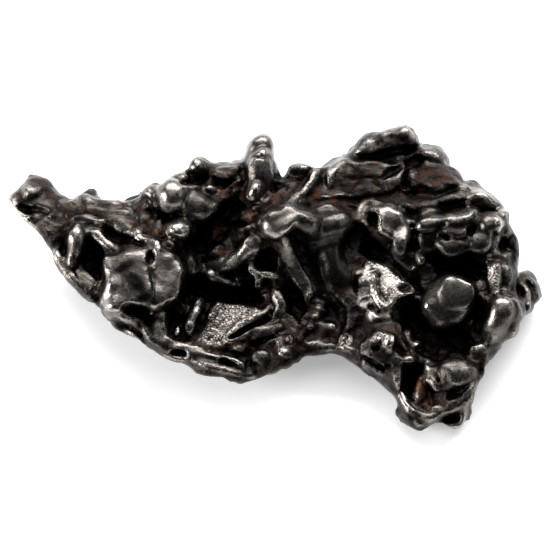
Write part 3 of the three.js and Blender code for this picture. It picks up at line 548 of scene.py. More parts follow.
def bowl(r):
    sparkle = [(-7, -3.1), (-4.6, -3.4), (-3.5, -3.8), (-1.9, -4.2), (-2, -4.8), (-3, -5.6), (-5, -7.2),
               (-6.3, -8.8), (-8.4, -8.6), (-9.8, -8), (-9.3, -6.9), (-8.4, -6), (-7.7, -4.2)]
    r.pad(sparkle, 0.6, (0.05, -0.12), 0.3, rough=0.7, light=0.25, grain=0.6)
    r.settle()
    r.rope((-0.6, -3.8, -1.5, -4.8, -3.5, -6.2, -5.6, -7.7), 0.55, 0.9, soft=0.15, polish=1)
    r.rope((0.3, -5.4, -2, -6.3, -4, -7.5, -5.9, -8.8), 0.5, 0.5, polish=0.6)
    r.groove((-1, -5.6, -3.4, -6.9, -5.6, -8.2), 0.25, 0.5)
    r.rope((0.1, -1.8, 0.5, -3, 0.5, -4.2, -0.2, -5.2), 0.75, 1.4, soft=0.2, polish=0.6)
    r.rope((0.4, -5.5, 1.5, -5.9, 2.1, -7), 0.4)
    r.rope((-3, 3.6, -3.1, 2, -2.7, 0.9, -2.1, 0.2, -2.1, -0.7, -1.6, -1.8, -0.7, -2.4), 0.45, 1)
    r.knob(-3.3, 0.5, 0.6, 0.6, 0.7, polish=1)
    r.rope((-2.1, 0.3, -0.8, 0.5, 0.3, 0.4), 0.4, 1.4)
    # The ledge's ropes are painted highlights.
    r.rope((-8, 1.3, -6.5, 1.6, -5.3, 2.2, -4.2, 2.8, -3.2, 3.5, -2.4, 4.5), 0.6, 1.6, polish=1, light=0.8)
    r.rope((-8.2, 0.4, -6, -0.2, -4, -0.6), 0.5, 2.2, polish=1, light=1)
    r.knob(-4.3, -9.3, 1.1, 0.9, soft=0.4, polish=0.3, calm=0.2, rust=0.4)
    r.knob(-1.2, -10.7, 1.5, 1.2, polish=0.3)
    r.knob(1.7, -10.3, 1.1, 0.9, 0.5, soft=0.4)
    r.rope((0.2, -8.2, 1.1, -9, 0.8, -10.1), 0.5, polish=0.8)
    r.rope((-3, -8, -1, -7.2, 0.8, -7.3), 0.6)
    r.groove((-2.9, -8.9, -0.8, -8.3, 0.4, -7.9), 0.45, 0.9)
    r.groove((-8.9, -9.2, -6.8, -9.5, -3, -10.3), 0.35, rust=0.5)
    r.groove((-3.2, -9.2, -2.8, -10.4, -3, -11.6), 0.35, 0.7)


def knob_cluster(r):
    r.knob(-12.3, 12, 1.9, 1.2, 0.9, 25, soft=0.3, polish=0.4, calm=0.9)
    r.knob(-9.8, 8.6, 2.5, 2, 1.5, -25, soft=0.4, polish=0.4, calm=0.8)
    # The big knob carries painted sheen.
    r.knob(-12.4, 9.8, 2.4, 2.2, 2.6, soft=0.15, polish=0.9, calm=1, light=0.3)
    r.knob(-15.3, 10, 1.3, 1.15, 1.2, soft=0.15, polish=0.6, calm=0.8)
    r.knob(-9.7, 14, 1.25, 1.1, 1.2, soft=0.2, polish=0.5, calm=0.9)
    r.knob(-10.1, 10.9, 0.85, 0.85, 1.1, soft=0.15, polish=0.6)
    r.knob(-8, 11, 1.1, 0.8, 1, soft=0.2, polish=0.5)
    r.rope((-9.4, 8.2, -9, 7, -8.9, 5.8), 0.6, 0.9, polish=0.6)
    r.knob(-8, 8.7, 0.8, 0.8, 0.7, soft=0.15)
    r.knob(-7.9, 7.3, 0.6, 0.6, 0.6)
    # The lower ball carries painted sheen.
    r.knob(-11.7, 5.6, 1.9, 1.7, 2.3, soft=0.15, polish=1, calm=1, light=0.4)
    r.knob(-14.4, 6, 1.3, 1.2, 1, calm=0.3, rust=0.8)
    r.knob(-16.4, 7.2, 1, 0.8, 0.6, calm=0.3, rust=0.4)
    r.groove((-16.2, 9.4, -15.2, 8.1, -15.2, 7.1), 0.45, 0.6, grain=0.5)
    r.groove((-15.2, 4.9, -13.8, 4.4, -13, 4.6), 0.4, 0.6)
    r.knob(-7, 13, 1.3, 0.9, 0.5, calm=0.2, rust=0.3)
    r.knob(-5, 13.4, 1, 0.8, 0.5, calm=0.2, rust=0.3)
    r.knob(-4.8, 11.2, 0.9, 0.9, 0.4, calm=0.2, rust=0.5)
    r.knob(-6.6, 10.4, 0.8, 0.7, 0.4, calm=0.2, rust=0.5)
    r.pit(-6.4, 12, 2, 0.7, 0.5, -6, soft=0.3, rust=0.6, soot=0.5)
    r.pit(-4.6, 9.6, 1.3, 0.8, 0.6, 20, soft=0.3, rust=0.6, soot=0.5)
    r.groove((-11.4, 11.3, -9.6, 12.1, -8.4, 12.9), 0.4, 0.6)


def fin(r):
    r.rope((-3.1, 9.6, -3, 11, -3, 12.8, -2.5, 14.6), 0.45, 0.2, soft=0.3, polish=1)
    r.rope((-0.9, 14.6, -0.7, 13.2, -0.6, 11.8), 0.35, 0.1, soft=0.3, polish=0.4)
    r.groove((-3.3, 14.6, -2.4, 14.9, -1.2, 14.5, -0.6, 14.8), 0.3, 0.35, soft=0.3)


def middle_diagonals(r):
    r.pad((-8, 2.3, -6, 4.6, -3.6, 5.4, -2.3, 6.2, -2.3, 4.6, -3.3, 3.6, -5, 2.4), 0.5, (0.1, -0.5), 0.5,
          rough=0.7, rust=0.6)
    r.rope((-6.3, 4.9, -4, 5.3, -2, 6.5, 0, 8), 0.5, 0.6, soft=0.4, calm=0.3, rust=0.3)
    r.rope((-6, 5.9, -2.4, 7.7, 1.2, 10.6), 0.6, 0.4, soft=0.4, polish=0.2, calm=0.3, rust=0.8)
    r.groove((-5, 5.6, -2, 7.1, 0.6, 9.2), 0.3, 0.4, rust=0.9)
    r.knob(-3.3, 7, 0.45, rust=0.8, orange=0.7)


def upper_plateau(r):
    r.knob(3, 12.9, 1.5, 1.1, 0.9, soft=0.3, polish=0.4)
    r.rope((5.4, 12.7, 4.2, 11.2, 2.4, 9.2, 1.3, 7.9), 0.75, 0.7, soft=0.3, polish=0.5)
    r.groove((4.4, 12.8, 3, 11.2, 1.2, 9.3), 0.3, 0.4, rust=0.6)
    wing = [(5.8, 10.3), (7.2, 12.4), (8.4, 14.1), (10.2, 14.2), (13.4, 13.8), (16.4, 13.4), (16.2, 11.6),
            (15.2, 10.6), (11.5, 9.9), (7.6, 9.6)]
    r.pad(wing, 0.9, (0.02, -0.36), 0.7, rough=0.5, polish=0.15, rust=0.2, soot=0.1)
    r.settle()
    for start, end, width in [((6.2, 10.4), (13, 11.4), 0.16), ((6.8, 11.2), (13.8, 12.2), 0.2),
                              ((7.6, 12.3), (15.4, 12.9), 0.16), ((8.2, 13.2), (14.4, 13.2), 0.14),
                              ((9.4, 10.4), (15.2, 11.2), 0.14)]:
        middle = ((start[0] + end[0]) / 2, (start[1] + end[1]) / 2 + 0.3)
        r.groove([start, middle, end], width, depth=0.1, rust=0.4, soot=0.5)
    r.rope((6.6, 11, 7.2, 12.5, 8.3, 14), 0.55, 0.4, soft=0.3, polish=1)
    r.groove((13.2, 12, 14.6, 12.9, 16.2, 13.5), 0.45, 0.7)
    r.groove((9.6, 14.2, 13, 14.9, 17.4, 15.3), 0.55, 1.2, soft=0.3)
    # The top lobe's left edge is a painted highlight.
    r.rope((10, 14.9, 10.8, 15.7, 11.4, 16.8), 0.6, 0.4, soft=0.2, polish=1, light=0.6)
    r.rope((13, 17.7, 14.7, 18.2, 16, 18.3, 17.4, 17), 0.5, 0.3, soft=0.3, polish=0.6)
    r.pit(14.6, 17, 0.9, 0.5, 0.2, 10, soft=0.4)
    r.rope((3, 9, 8, 9.5, 12, 9.9, 15.3, 10.5), 0.4, 0.15, calm=0.2, rust=0.7)
    r.groove((3.5, 9.6, 8, 9.2, 15, 10), 0.4, 0.4, rust=1, soot=0.3)
    r.groove((2.2, 8.3, 5.5, 8.8, 8.4, 8.5, 10.4, 8.2), 0.5, 0.6, rust=0.8, soot=0.4)


def central_hump(r):
    r.rope((-1.3, 5.2, -0.6, 6.2, 0.6, 7, 1.8, 7.1, 3.2, 6.7, 5, 6.1, 7, 6.2, 9.2, 6.3), 1.2, 0.8, soft=0.6,
           polish=0.6, calm=1)
    # The lip's inner face is a painted highlight.
    r.rope((-1.3, 5.2, -0.2, 5.3, 0.9, 6, 1.8, 6.8), 0.95, 1, soft=0.5, polish=1, calm=1, light=0.7)
    # Painted shade in the dimple, under the lip and down the curtain; the grey band gets painted sheen.
    r.paint_patch(-0.5, 6.7, 0.9, 0.6, 20, rust=0.4, soot=0.6)
    r.rope((3.8, 7.4, 5, 8.2, 6.8, 8.3, 8.2, 7.4), 0.4, 0.5, rust=0.3)
    r.paint_patch(6.8, 7.5, 0.9, 0.4, rust=0.3, soot=0.6)
    r.paint_patch(5, 2.2, 1.2, 4.6, 28, calm=0.8, soot=1)
    r.paint_patch(7.9, 2, 1.4, 4.8, 22, calm=0.9, light=0.1, soot=0)
    r.paint_patch(9, -5.6, 2.6, 3.6, 15, rust=0.1, soot=0.9)
    # A painted highlight along this ridge.
    r.rope((0.4, 4.6, 1.5, 2.7, 2.8, 0.9, 4.1, -0.3, 4.8, -1.5), 0.5, 0.7, soft=0.4, polish=0.9, light=0.3)
    r.rope((-0.2, 4, 0.9, 2.4, 2.2, 0.4, 3.4, -1.2), 0.35, 0.7, polish=0.3)
    r.knob(4.5, -1.9, 0.8, 1, 0.7, polish=0.6)
    for k in range(3):
        r.rope([(1.8 + 0.6 * k, 4 - 0.5 * k), (2.6 + 0.6 * k, 3.1 - 0.6 * k), (3.4 + 0.5 * k, 2.6 - 0.9 * k)],
               0.35, lift=0.08, soft=0.4, polish=0.1)
    for a, b, size in [(5.5, -3.2, 0.8), (5.3, -4.5, 0.9), (4.9, -5.7, 0.8), (2.8, -2.8, 0.4), (3.3, -6, 0.5),
                       (4.4, -7, 0.6), (2.3, -4.2, 0.45), (1.9, -8.6, 0.7), (3.4, -8.4, 0.6)]:
        r.knob(a, b, size, lift=0.8 * size, polish=0.4)
    r.rope((5.3, -6.4, 6.2, -7, 7.2, -7), 0.5)
    r.rope((4, -8.9, 6.5, -9.2, 9.8, -9.8), 0.55, polish=0.5)
    r.knob(8.6, -8.3, 0.9, 0.8, grain=0.5)
    r.rope((6, -1.9, 7, -2.8, 7.9, -5.2), 0.3, 0.3)


def ear(r):
    r.pit(12.5, 7, 1, 1.5, 1.2, -30, rust=0.4, soot=0.7)
    r.rope((11, 7.2, 11.1, 8.4, 12, 9.1, 13.1, 8.7, 13.7, 7.4, 13.8, 6, 14.7, 5), 0.6, 0.5, soft=0.3,
           polish=1)
    # The ear's outer flank carries painted sheen.
    r.rope((13.9, 8.6, 15, 7.6, 15.8, 6.4, 16, 5.2, 15.9, 4.2), 0.9, 0.5, soft=0.5, polish=0.5, calm=1,
           light=0.4)
    r.knob(15.5, 4, 1.1, 1.3, 0.6, soft=0.3, polish=0.4)
    r.rope((15, 2.8, 15.8, 2, 17, 1), 0.5)
    r.rope((15.9, 3.2, 16.4, 2.4, 17.2, 1.7), 0.4)
    r.knob(17.9, 2, 0.8, 0.8, 0.8, polish=0.5)
    r.knob(18.6, 1.1, 0.9, 0.7, 0.8, polish=0.8)


def sparkling_facet(r):
    facet = [(11.9, 1.5), (12.5, 2.25), (13.1, 2.3), (14.1, 1.9), (15.1, 1), (16.1, 0.1), (16.75, -0.9),
             (17.6, -2), (16.6, -3.2), (15, -4), (13.5, -3.4), (10.9, -3.6), (10.2, -3.1), (10.5, -2.4),
             (10.6, -1.4), (11, -0.25), (11.5, 0.4)]
    # Facet, grooves and edge ropes painted light: painted sheen, and bright bare metal.
    r.pad(facet, 1.2, (0.22, -0.28), 0.3, rough=0.9, polish=1, light=1, grain=0.3)
    r.settle()
    for b, end in [(0.9, 13.6), (0.1, 14.2), (-0.8, 13.6), (-1.7, 13.2), (-2.7, 12.8)]:
        r.groove([(10.8, b - 0.4), (12.2, b), (end, b + 0.4)], 0.3, depth=0.28, grain=0.2, light=1, soot=0.1)
    r.pit(14.8, -2.1, 1.2, 1.1, 0.45, flat=0.8, light=0.5, soot=0.2, grain=0.8)
    r.rope((12.9, 2.2, 14.6, 1, 16.2, -0.5, 17.7, -2), 0.35, 0.45, soft=0.1, polish=1, light=1)
    r.rope((12.2, 1.6, 12.9, 0.2, 13.1, -1, 13.3, -2.4, 13.9, -3.4, 14.9, -4), 0.45, 0.45, soft=0.15,
           polish=1, light=1)
    r.rope((14.9, -4.1, 16.9, -3.5, 18.3, -2.9), 0.55, 0.8, polish=1)
    r.pit(16.9, -1.6, 0.7, 0.9, 0.5, rust=0.7)
    r.knob(12.3, -4.5, 1.1, 0.9, 0.7, polish=1)
    r.knob(14, -5, 1.2, 1, 0.6, polish=0.4)
    r.knob(16.2, -5, 1.1, 1, 0.9, polish=0.4)
    r.rope((16.6, -5.6, 17, -4.8, 17.6, -4.2), 0.35, 0.5)
    r.rope((18, -0.9, 19.2, -0.2, 20, 0.2), 0.4, 0.7, polish=0.9)
    r.rope((18.4, 0.2, 19.2, 0.7, 19.8, 0.9), 0.4, 0.6, polish=0.7)
    r.rope((18.2, -1.8, 18.8, -1.3, 19.4, -1), 0.35, 0.6, polish=0.7)


def knob_c_details(r):
    r.rope((19.4, -5.6, 20.1, -6.6, 21.2, -6.8, 22.2, -6), 0.45, 0.15, soft=0.3, polish=0.9, calm=1)
    r.knob(19.6, -3.8, 0.9, 1.1, 0.15, -30, soft=0.4, polish=1, calm=1)
    r.pit(22.3, -0.4, 0.35, 0.3, 0.2)
    r.knob(19.7, -7.2, 0.45, polish=0.8)


def upper_right(r):
    r.groove((16.8, 13.2, 17.8, 13.9, 18.8, 14.4), 0.6, 1)
    r.groove((16.4, 10.8, 16.6, 12, 16.9, 13.2), 0.4, 0.8)
    r.pad((17, 11, 17.2, 12.4, 18.4, 12.9, 20, 13.2, 22.8, 12.6, 23.4, 11.6, 20.4, 10.9), 0.7, (-0.05,
          -0.45), 0.6, rough=0.9, rust=0.6, soot=0.3)
    r.rope((16.9, 11.1, 17, 11.8, 17.4, 12.6), 0.4, 0.3, polish=1)
    r.rope((19.8, 10.8, 20.6, 10.9, 21.4, 11.2), 0.35, 0.3, polish=0.6, rust=0.4)
    r.groove((15.6, 10.3, 18.2, 10.2, 20.4, 10.4, 22.8, 10.9), 0.45, 0.7, rust=0.8, soot=0.3)
    r.pad((14.6, 9.2, 16.4, 9.8, 19.4, 9.9, 20.2, 9.2, 19.4, 8.2, 17.2, 7.8, 15.6, 8), 0.5, (0.02, -0.3),
          0.9, rough=0.8, soot=0.3)
    r.pad((20, 10, 22.6, 10.4, 23.6, 9.8, 23.4, 9.2, 21.4, 8.9, 20, 9.2), 0.6, (0.05, -0.3), 0.6, rough=0.8,
          soot=0.3)
    r.groove((20.2, 8.7, 21.8, 8.4, 23.5, 8.8), 0.4, 0.9)
    r.knob(23.6, 10.9, 1.2, 0.9, 0.8, polish=0.4)
    r.knob(25.6, 9.2, 1.7, 1.5, 0.8, soft=0.3, flat=0.3, calm=0.6, rust=0.2)
    # The pale rim is painted sheen.
    r.rope((24.7, 11.2, 26.2, 10.2, 27.1, 9, 27.4, 7.9), 0.6, 0.4, soft=0.3, calm=1, light=0.3)
    r.rope((23.9, 8.2, 23.8, 9, 24.2, 9.9), 0.45, 0.4, polish=1)
    r.groove((24, 7.3, 25.6, 7.1, 27, 7.2), 0.35, 0.7, rust=0.8)


def swirl(r):
    r.knob(19.4, 6.3, 1.8, 1.3, 1, 20, soft=0.3, polish=0.4, calm=1)
    r.knob(19, 4, 1.4, 1.6, 0.6, 10, soft=0.4, calm=1, soot=0.2)
    r.knob(22, 3.5, 2.3, 1.3, 0.8, -4, soft=0.4, polish=0.3, calm=1, soot=0.2)
    r.knob(25.3, 3.9, 1.8, 1.5, 1, 12, soft=0.3, polish=0.3, calm=1)
    r.knob(26.5, 5.9, 1.3, 1.3, 1, soft=0.3, polish=0.6, calm=1)
    r.rope((20.8, 7.1, 22, 6.4, 23.4, 6.6, 24.8, 7.4), 0.8, 0.7, soft=0.3, polish=0.5, calm=1)
    r.rope((21, 5.5, 22.6, 5.1, 24, 5.6), 0.6, 0.7, soft=0.3, polish=0.5, calm=1)
    r.pit(24.6, 5.6, 0.8, 0.5, 0.7, 30)
    r.pit(21, 4.6, 0.9, 0.4, 0.6, -15)
    r.knob(17.2, 6.3, 1.4, 1.1, 0.8, -10, soft=0.3, polish=0.4, calm=1)
    r.rope((17.9, 7.4, 18.6, 7.9, 19.8, 8), 0.5, 0.5)
    r.pit(17.3, 6.3, 0.35, 0.25, 0.3)
    # Painted shade on the slope under the swirl's overhang.
    r.paint_patch(22.6, 1.9, 4.4, 1.2, calm=0.6, soot=0.6)


def right_chain(r):
    r.rope((27.3, 7.8, 28.3, 6.8, 28.5, 5.6, 28.1, 4.4), 0.7, 0.7, soft=0.3, polish=0.6)
    r.rope((27.1, 6.8, 27.5, 5.7, 27.5, 4.3, 27.2, 3), 0.4, 0.6, polish=1)
    r.pit(29.5, 1.9, 0.6, 0.7, 0.5, soft=0.3)
    r.knob(27.1, 2.3, 0.9, 0.8, 0.7, polish=1)
    # This facet carries painted sheen.
    r.pad((26.4, 1.6, 27.9, 1.5, 28.3, -0.2, 27.8, -2, 26.6, -1.8, 26.4, 0), 0.9, (0.45, 0.05), 0.5,
          rough=0.3, polish=1, light=0.8, grain=0.5)
    r.rope((28.5, 1.2, 28.8, -0.3, 28.7, -1.8), 0.55, 0.5, soft=0.2, polish=1)
    r.groove((26.8, -2.3, 28.4, -2.4, 29.9, -2.2), 0.4, 0.7)
    r.rope((25.5, 0, 25.3, -1.3), 0.5, 0.8, polish=0.9)
    r.rope((25.2, -1.9, 26.2, -2.6, 27.3, -2.9), 0.6, 0.9, polish=0.9)
    r.rope((25.6, -2.4, 25.7, -3.7), 0.45, 0.9, polish=1)
    # A little painted sheen on this rounded rope.
    r.rope((28, -2.8, 27.9, -4.2, 27.4, -5.8, 26.5, -7.4), 1.05, 1, soft=0.4, polish=0.9, calm=1, light=0.15)
    r.rope((26.3, -6.8, 27.2, -6.2, 28, -5.9), 0.55, 0.5, polish=0.9)
    r.rope((27.2, -7.7, 28.6, -7.4, 29.4, -6.4), 0.45, 0.3)
    r.rope((25.7, -8.2, 25, -9.2, 24.3, -10), 0.7, 0.9, polish=1)
    r.groove((30.1, -0.2, 30.5, -2.4, 30.2, -5), 0.4, 0.9)
    r.rope((30.6, -0.6, 31.3, -2.2, 30.9, -4.4), 0.5, 0.4, polish=0.3)
    r.groove((31.6, -0.4, 32.1, -2.2, 31.5, -4.2), 0.35, 0.6)


def dark_block(r):
    r.pad((10.1, -8.8, 11.4, -7.4, 12.8, -7.1, 14.4, -7.6, 14.4, -9.4, 15.4, -11.1, 15.4, -12.6, 14.9, -14.1,
          13.4, -13.4, 11.6, -12.3, 10.2, -11.4), 1.3, (0.02, 0.12), 0.8, rough=0.8, polish=0.2)
    r.settle()
    r.groove((10, -10.2, 11.6, -10.9, 13.2, -12.2), 0.4, 0.7)
    r.rope((11.3, -7.6, 12.6, -7.4, 13.2, -8.4, 13.5, -9.2, 14.2, -9.7), 0.45, 0.5, polish=1)
    r.rope((13.8, -8.9, 14.4, -7.8), 0.35, 0.5, polish=0.9)
    r.rope((12.4, -7.4, 13.4, -7.5), 0.4, 0.4, polish=0.8, grain=0.9)
    r.pit(11.8, -9, 0.9, 0.6, 0.7)
    r.rope((14.3, -9.8, 15, -11, 15.4, -12.2, 14.9, -14), 0.45, 0.4, polish=0.6)
    r.rope((15, -11, 16.2, -10.8, 17.5, -10.3), 0.45, 1.6, polish=0.5)
    r.pit(13.6, -11.6, 0.8, 0.5, 0.4, -40)
    r.knob(18, -9, 0.75, 0.75, 1.2, polish=0.8)
    r.pit(18.05, -9.15, 0.35, 0.3, 0.5)
    r.knob(16.6, -7.5, 0.8, 0.8, 1.4, polish=1)
    r.rope((16.6, -8, 17.2, -8.6, 17.8, -8.7), 0.25, 0.8)
    r.rope((15.4, -8.2, 16, -9.2, 16.6, -9.8), 0.45, 0.6, rust=0.6)


def foot(r):
    r.knob(22.7, -12.2, 2.5, 2.2, 1.3, 12, soft=0.3, polish=0.5, calm=0.8)
    for k in range(5):
        lobe = [(20.6 + 0.25 * k, -13.3 + 0.05 * k), (21.3 + 0.4 * k, -12.4), (22 + 0.5 * k, -11.4 + 0.1 * k)]
        r.rope(lobe, 0.28, 0.2, polish=0.8)
    r.rope((20.6, -13.6, 21.9, -13, 23.2, -12.9, 24.3, -12.8), 0.45, 0.7, polish=1)
    r.pit(22.3, -14.7, 1.5, 0.7, 1, 8, rust=0.6)
    r.rope((24.9, -12.9, 25, -13.9, 24.4, -15, 23.2, -16, 21.6, -16.3, 20.6, -16.7, 19.4, -17.4, 17.6, -16.8,
           15.9, -16, 15.2, -15), 0.6, 0.9, soft=0.2, polish=0.5)
    r.rope((18.7, -11, 18.8, -12.3, 19.5, -13.2, 20.4, -13.8), 0.6, 1.8, polish=0.6)
    r.knob(19.9, -12.2, 1, 1, 0.9, polish=0.2)
    r.knob(18.7, -11.1, 0.45, 0.45, 1.2, polish=1)
    r.pad((17.9, -12.1, 17.5, -13.4, 17.3, -15.4, 18.6, -15.9, 19.4, -15.7, 18.9, -14.2, 18.3, -12.8), 1.5,
          (-0.2, -0.1), 0.3, rough=0.8, rust=1, orange=0.6)
    r.knob(17.2, -14.7, 0.55, 0.45, 0.6, polish=0.8, grain=0.8)
    r.rope((15.5, -14.4, 16.6, -15.4, 18.2, -16.1), 0.4, 1, soft=0.15, polish=1)
    r.rope((18.9, -16.2, 20, -16.1, 20.8, -15.9), 0.4, 1, soft=0.15, polish=0.9)
    r.rope((16.8, -17, 17.2, -18, 18.3, -18.4, 19.6, -17.9), 0.4, 0.4)
    # A painted highlight along the bottom lip.
    r.rope((20.4, -18.4, 22, -18.9, 23.2, -18.5, 23.7, -17.2, 24, -16.2), 0.35, 0.5, light=0.4)
    r.knob(25.3, -12.9, 0.7, 0.7, 0.5)


def worked_relief():
    r = Relief()
    rust_and_shade_patches(r)
    masses(r)
    r.settle()
    cavities(r)
    r.settle()
    standing_parts(r)
    r.settle()
    for region in (left_arm, twin_lobes, lower_left_rims, knob_cluster, middle_diagonals, upper_plateau,
                   central_hump, ear, bowl, sparkling_facet, upper_right, swirl, right_chain, dark_block,
                   foot):
        region(r)
        r.settle()
    for region in (fin, knob_c_details):
        region(r)
    return r


# ------------------------------------------------------------------ from relief to solid

WARP = 0.16  # how far smooth noise shifts the relief sideways
WARP_WAVES = (3.1, 1.1)
RIM_TOP = 1.4  # how far in from the outline the face is rounded off
RIM_DROP = 1.2  # how much lower the face ends at the outline
RIM_UNDER = 6.5  # how far in the underside is rounded off
WAIST = 0.45  # where the underside starts at the outline: 0 is its own height, 1 the height of the face
STEEPEST = 2.5  # steeper slopes of the relief count as this in a distance to it
DEEP = (-0.5, -3.0)  # from here to here below the face the sides take over
WALL_LUMPS = ((4.8, 1.6), (2.4, 0.5))  # wavelength and height of the lumps of the sides and the underside
WALL_PEAK = 1.5
WALL_LEVEL = 0.7
UNDER_LEVEL = 0.6
FACE_SOFT = (0.5, 2.6)  # softness of the edge between face and side, and how much softer it is down the side
UNDER_SOFT = (0.6, 1.0)
LUMPS = (1.7, 0.40)  # wavelength and height of the small lumps all over
PIMPLES = (0.8, 0.26)
LUMP_PEAK = 1.7
LUMP_LEVEL = 0.8
LUMPS_FULL = (0.2, 1.6)  # how far in from the outline these start to grow and are full
CALM_DEPTH = 3  # how far down the looks of the face still calm them
GRAIN_DEPTH = 1
GRAIN = (0.35, 0.06)
BROAD = (5.5, 0.25)  # and of the swells of the underside
BROAD_DEPTH = (-4, -1)
JUST_INSIDE = -0.01
FLAT_SOFT = 0.15  # softness of the edges of the flats it stands on
EVENED = 0.5  # how far each vertex is drawn to the middle of its neighbours
LONGEST_STEP = 0.3  # how far one step to the surface may go, in cells
CREASE_CELLS = 2  # how widely the solid is blurred to find its small edges and creases
RECESS_CELLS = 7  # and its hollows
FRONT = (-1.5, -0.5)  # how far under the relief the looks of the face fade out
BACK_CALM = 0.45  # how smooth the sides and the underside are


def sampled(grid_map, r, A, B):
    """Bilinear reading of a map of the relief."""
    i = np.clip((A - r.a[0]) / MAP_STEP, 0, len(r.a) - 1.001)
    j = np.clip((B - r.b[0]) / MAP_STEP, 0, len(r.b) - 1.001)
    i0, j0 = i.astype(np.int32), j.astype(np.int32)
    fi, fj = (i - i0).astype(np.float32), (j - j0).astype(np.float32)
    flat = grid_map.ravel()
    at = i0 * grid_map.shape[1] + j0
    near = flat[at] * (1 - fj) + flat[at + 1] * fj
    at += grid_map.shape[1]
    far = flat[at] * (1 - fj) + flat[at + 1] * fj
    return near * (1 - fi) + far * fi


def steepness(surface):
    """How many times farther off the surface is upwards than square to it."""
    slope = np.minimum(np.hypot(*np.gradient(surface, MAP_STEP)), STEEPEST)
    return np.sqrt(1 + slope ** 2)


def solid_field(r):
    """Distance to the surface on a regular grid, negative inside."""
    rng = np.random.default_rng(SEED)
    axes = [np.arange(*span, CELL, dtype=np.float32) for span in (SPAN_A, SPAN_B, SPAN_H)]
    A, B, H = np.meshgrid(*axes, indexing="ij")
    long, short = WARP_WAVES
    shifts = [WARP * (noise(axes, long, rng) + 0.5 * noise(axes, short, rng)) for _ in range(2)]
    depth = r.outline_depth
    middle = WAIST * r.h + (1 - WAIST) * r.under
    top = r.h - RIM_DROP * (1 - rounded(depth, RIM_TOP))
    under = middle + (r.under - middle) * rounded(depth, RIM_UNDER)
    A += shifts[0]
    B += shifts[1]
    over_top = (H - sampled(top, r, A, B)) / sampled(steepness(top), r, A, B)
    below = (sampled(under, r, A, B) - H) / sampled(steepness(under), r, A, B)
    outside = -sampled(depth, r, A, B)
    deep = smooth_step(*DEEP, over_top)
    for wavelength, height in WALL_LUMPS:
        lump = np.minimum(np.abs(noise(axes, wavelength, rng)), WALL_PEAK) / WALL_PEAK
        outside = outside + deep * height * (WALL_LEVEL - lump)
        below = below + height * (UNDER_LEVEL - lump)
    under_soft = UNDER_SOFT[0] + UNDER_SOFT[1] * deep
    d = soft_max(soft_max(over_top, below, under_soft), outside, FACE_SOFT[0] + FACE_SOFT[1] * deep)
    calm = sampled(smoothed(r.looks["calm"], 2), r, A, B) * (over_top > -CALM_DEPTH)
    lumps, pimples = (height * (np.minimum(np.abs(noise(axes, wavelength, rng)), LUMP_PEAK) - LUMP_LEVEL)
                      for wavelength, height in (LUMPS, PIMPLES))
    within = 0.5 + 0.5 * smooth_step(*LUMPS_FULL, sampled(depth, r, A, B))
    d -= (1 - calm) * within * (lumps + pimples)
    grain = sampled(r.looks["grain"], r, A, B) * (over_top > -GRAIN_DEPTH)
    d -= grain * GRAIN[1] * noise(axes, GRAIN[0], rng)
    d -= BROAD[1] * noise(axes, BROAD[0], rng) * (1 - smooth_step(*BROAD_DEPTH, over_top))
    height = axes[1][None, :, None] * UP + axes[2][None, None, :] * OUT
    d = soft_max(d, -height.astype(np.float32), FLAT_SOFT)
    return axes, d


def fill_crossings(d):
    """Fills one corner of each grid square that is inside and outside crosswise.

    Four faces would otherwise share an edge there.
    """
    filled = True
    while filled:
        filled = False
        for s, t in ((0, 1), (0, 2), (1, 2)):
            def corner(i, j):
                cut = [slice(None)] * 3
                cut[s] = slice(1, None) if i else slice(None, -1)
                cut[t] = slice(1, None) if j else slice(None, -1)
                return d[tuple(cut)]
            p, q, u, v = corner(0, 0), corner(0, 1), corner(1, 1), corner(1, 0)
            main = (p < 0) & (u < 0) & (q >= 0) & (v >= 0)
            other = (p >= 0) & (u >= 0) & (q < 0) & (v < 0)
            if main.any() or other.any():
                filled = True
                q[main] = JUST_INSIDE
                p[other] = JUST_INSIDE


def surface_nets(axes, d):
    """One vertex in each cell that the surface passes through, and one quad across each edge that it cuts."""
    inside = d < 0
    corners = [(i, j, k) for i in (0, 1) for j in (0, 1) for k in (0, 1)]
    size = [n - 1 for n in d.shape]

    def corner_of(field, c):
        return field[c[0]:c[0] + size[0], c[1]:c[1] + size[1], c[2]:c[2] + size[2]]

    count = sum(corner_of(inside, c).astype(np.int8) for c in corners)
    cells = np.argwhere((count > 0) & (count < 8))
    ids = np.full(size, -1, np.int32)
    ids[tuple(cells.T)] = np.arange(len(cells))
    values = {c: d[tuple((cells + c).T)] for c in corners}
    total = np.zeros((len(cells), 3), np.float64)
    hits = np.zeros(len(cells))
    for c in corners:
        for axis in range(3):
            if c[axis]:
                continue
            e = list(c)
            e[axis] = 1
            v0, v1 = values[c], values[tuple(e)]
            crossed = (v0 < 0) != (v1 < 0)
            t = np.where(crossed, v0 / np.where(crossed, v0 - v1, 1), 0)
            point = np.tile(np.array(c, float), (len(cells), 1))
            point[:, axis] += t
            total[crossed] += point[crossed]
            hits += crossed
    verts = (cells + total / hits[:, None]) * CELL + [axis[0] for axis in axes]
    quads = []
    for axis in range(3):
        u, w = (axis + 1) % 3, (axis + 2) % 3
        here = [slice(1, n - 1) for n in d.shape]
        there = list(here)
        here[axis] = slice(0, d.shape[axis] - 1)
        there[axis] = slice(1, d.shape[axis])
        first = inside[tuple(here)]
        crossed = np.argwhere(first != inside[tuple(there)])
        outward = first[tuple(crossed.T)]
        crossed[:, u] += 1
        crossed[:, w] += 1
        step_u, step_w = np.zeros(3, int), np.zeros(3, int)
        step_u[u], step_w[w] = 1, 1
        ring = [ids[tuple((crossed - back).T)] for back in (0 * step_u, step_u, step_u + step_w, step_w)]
        quad = np.stack(ring, 1)
        quad[~outward] = quad[~outward][:, ::-1]
        quads.append(quad)
    return verts, np.vstack(quads)


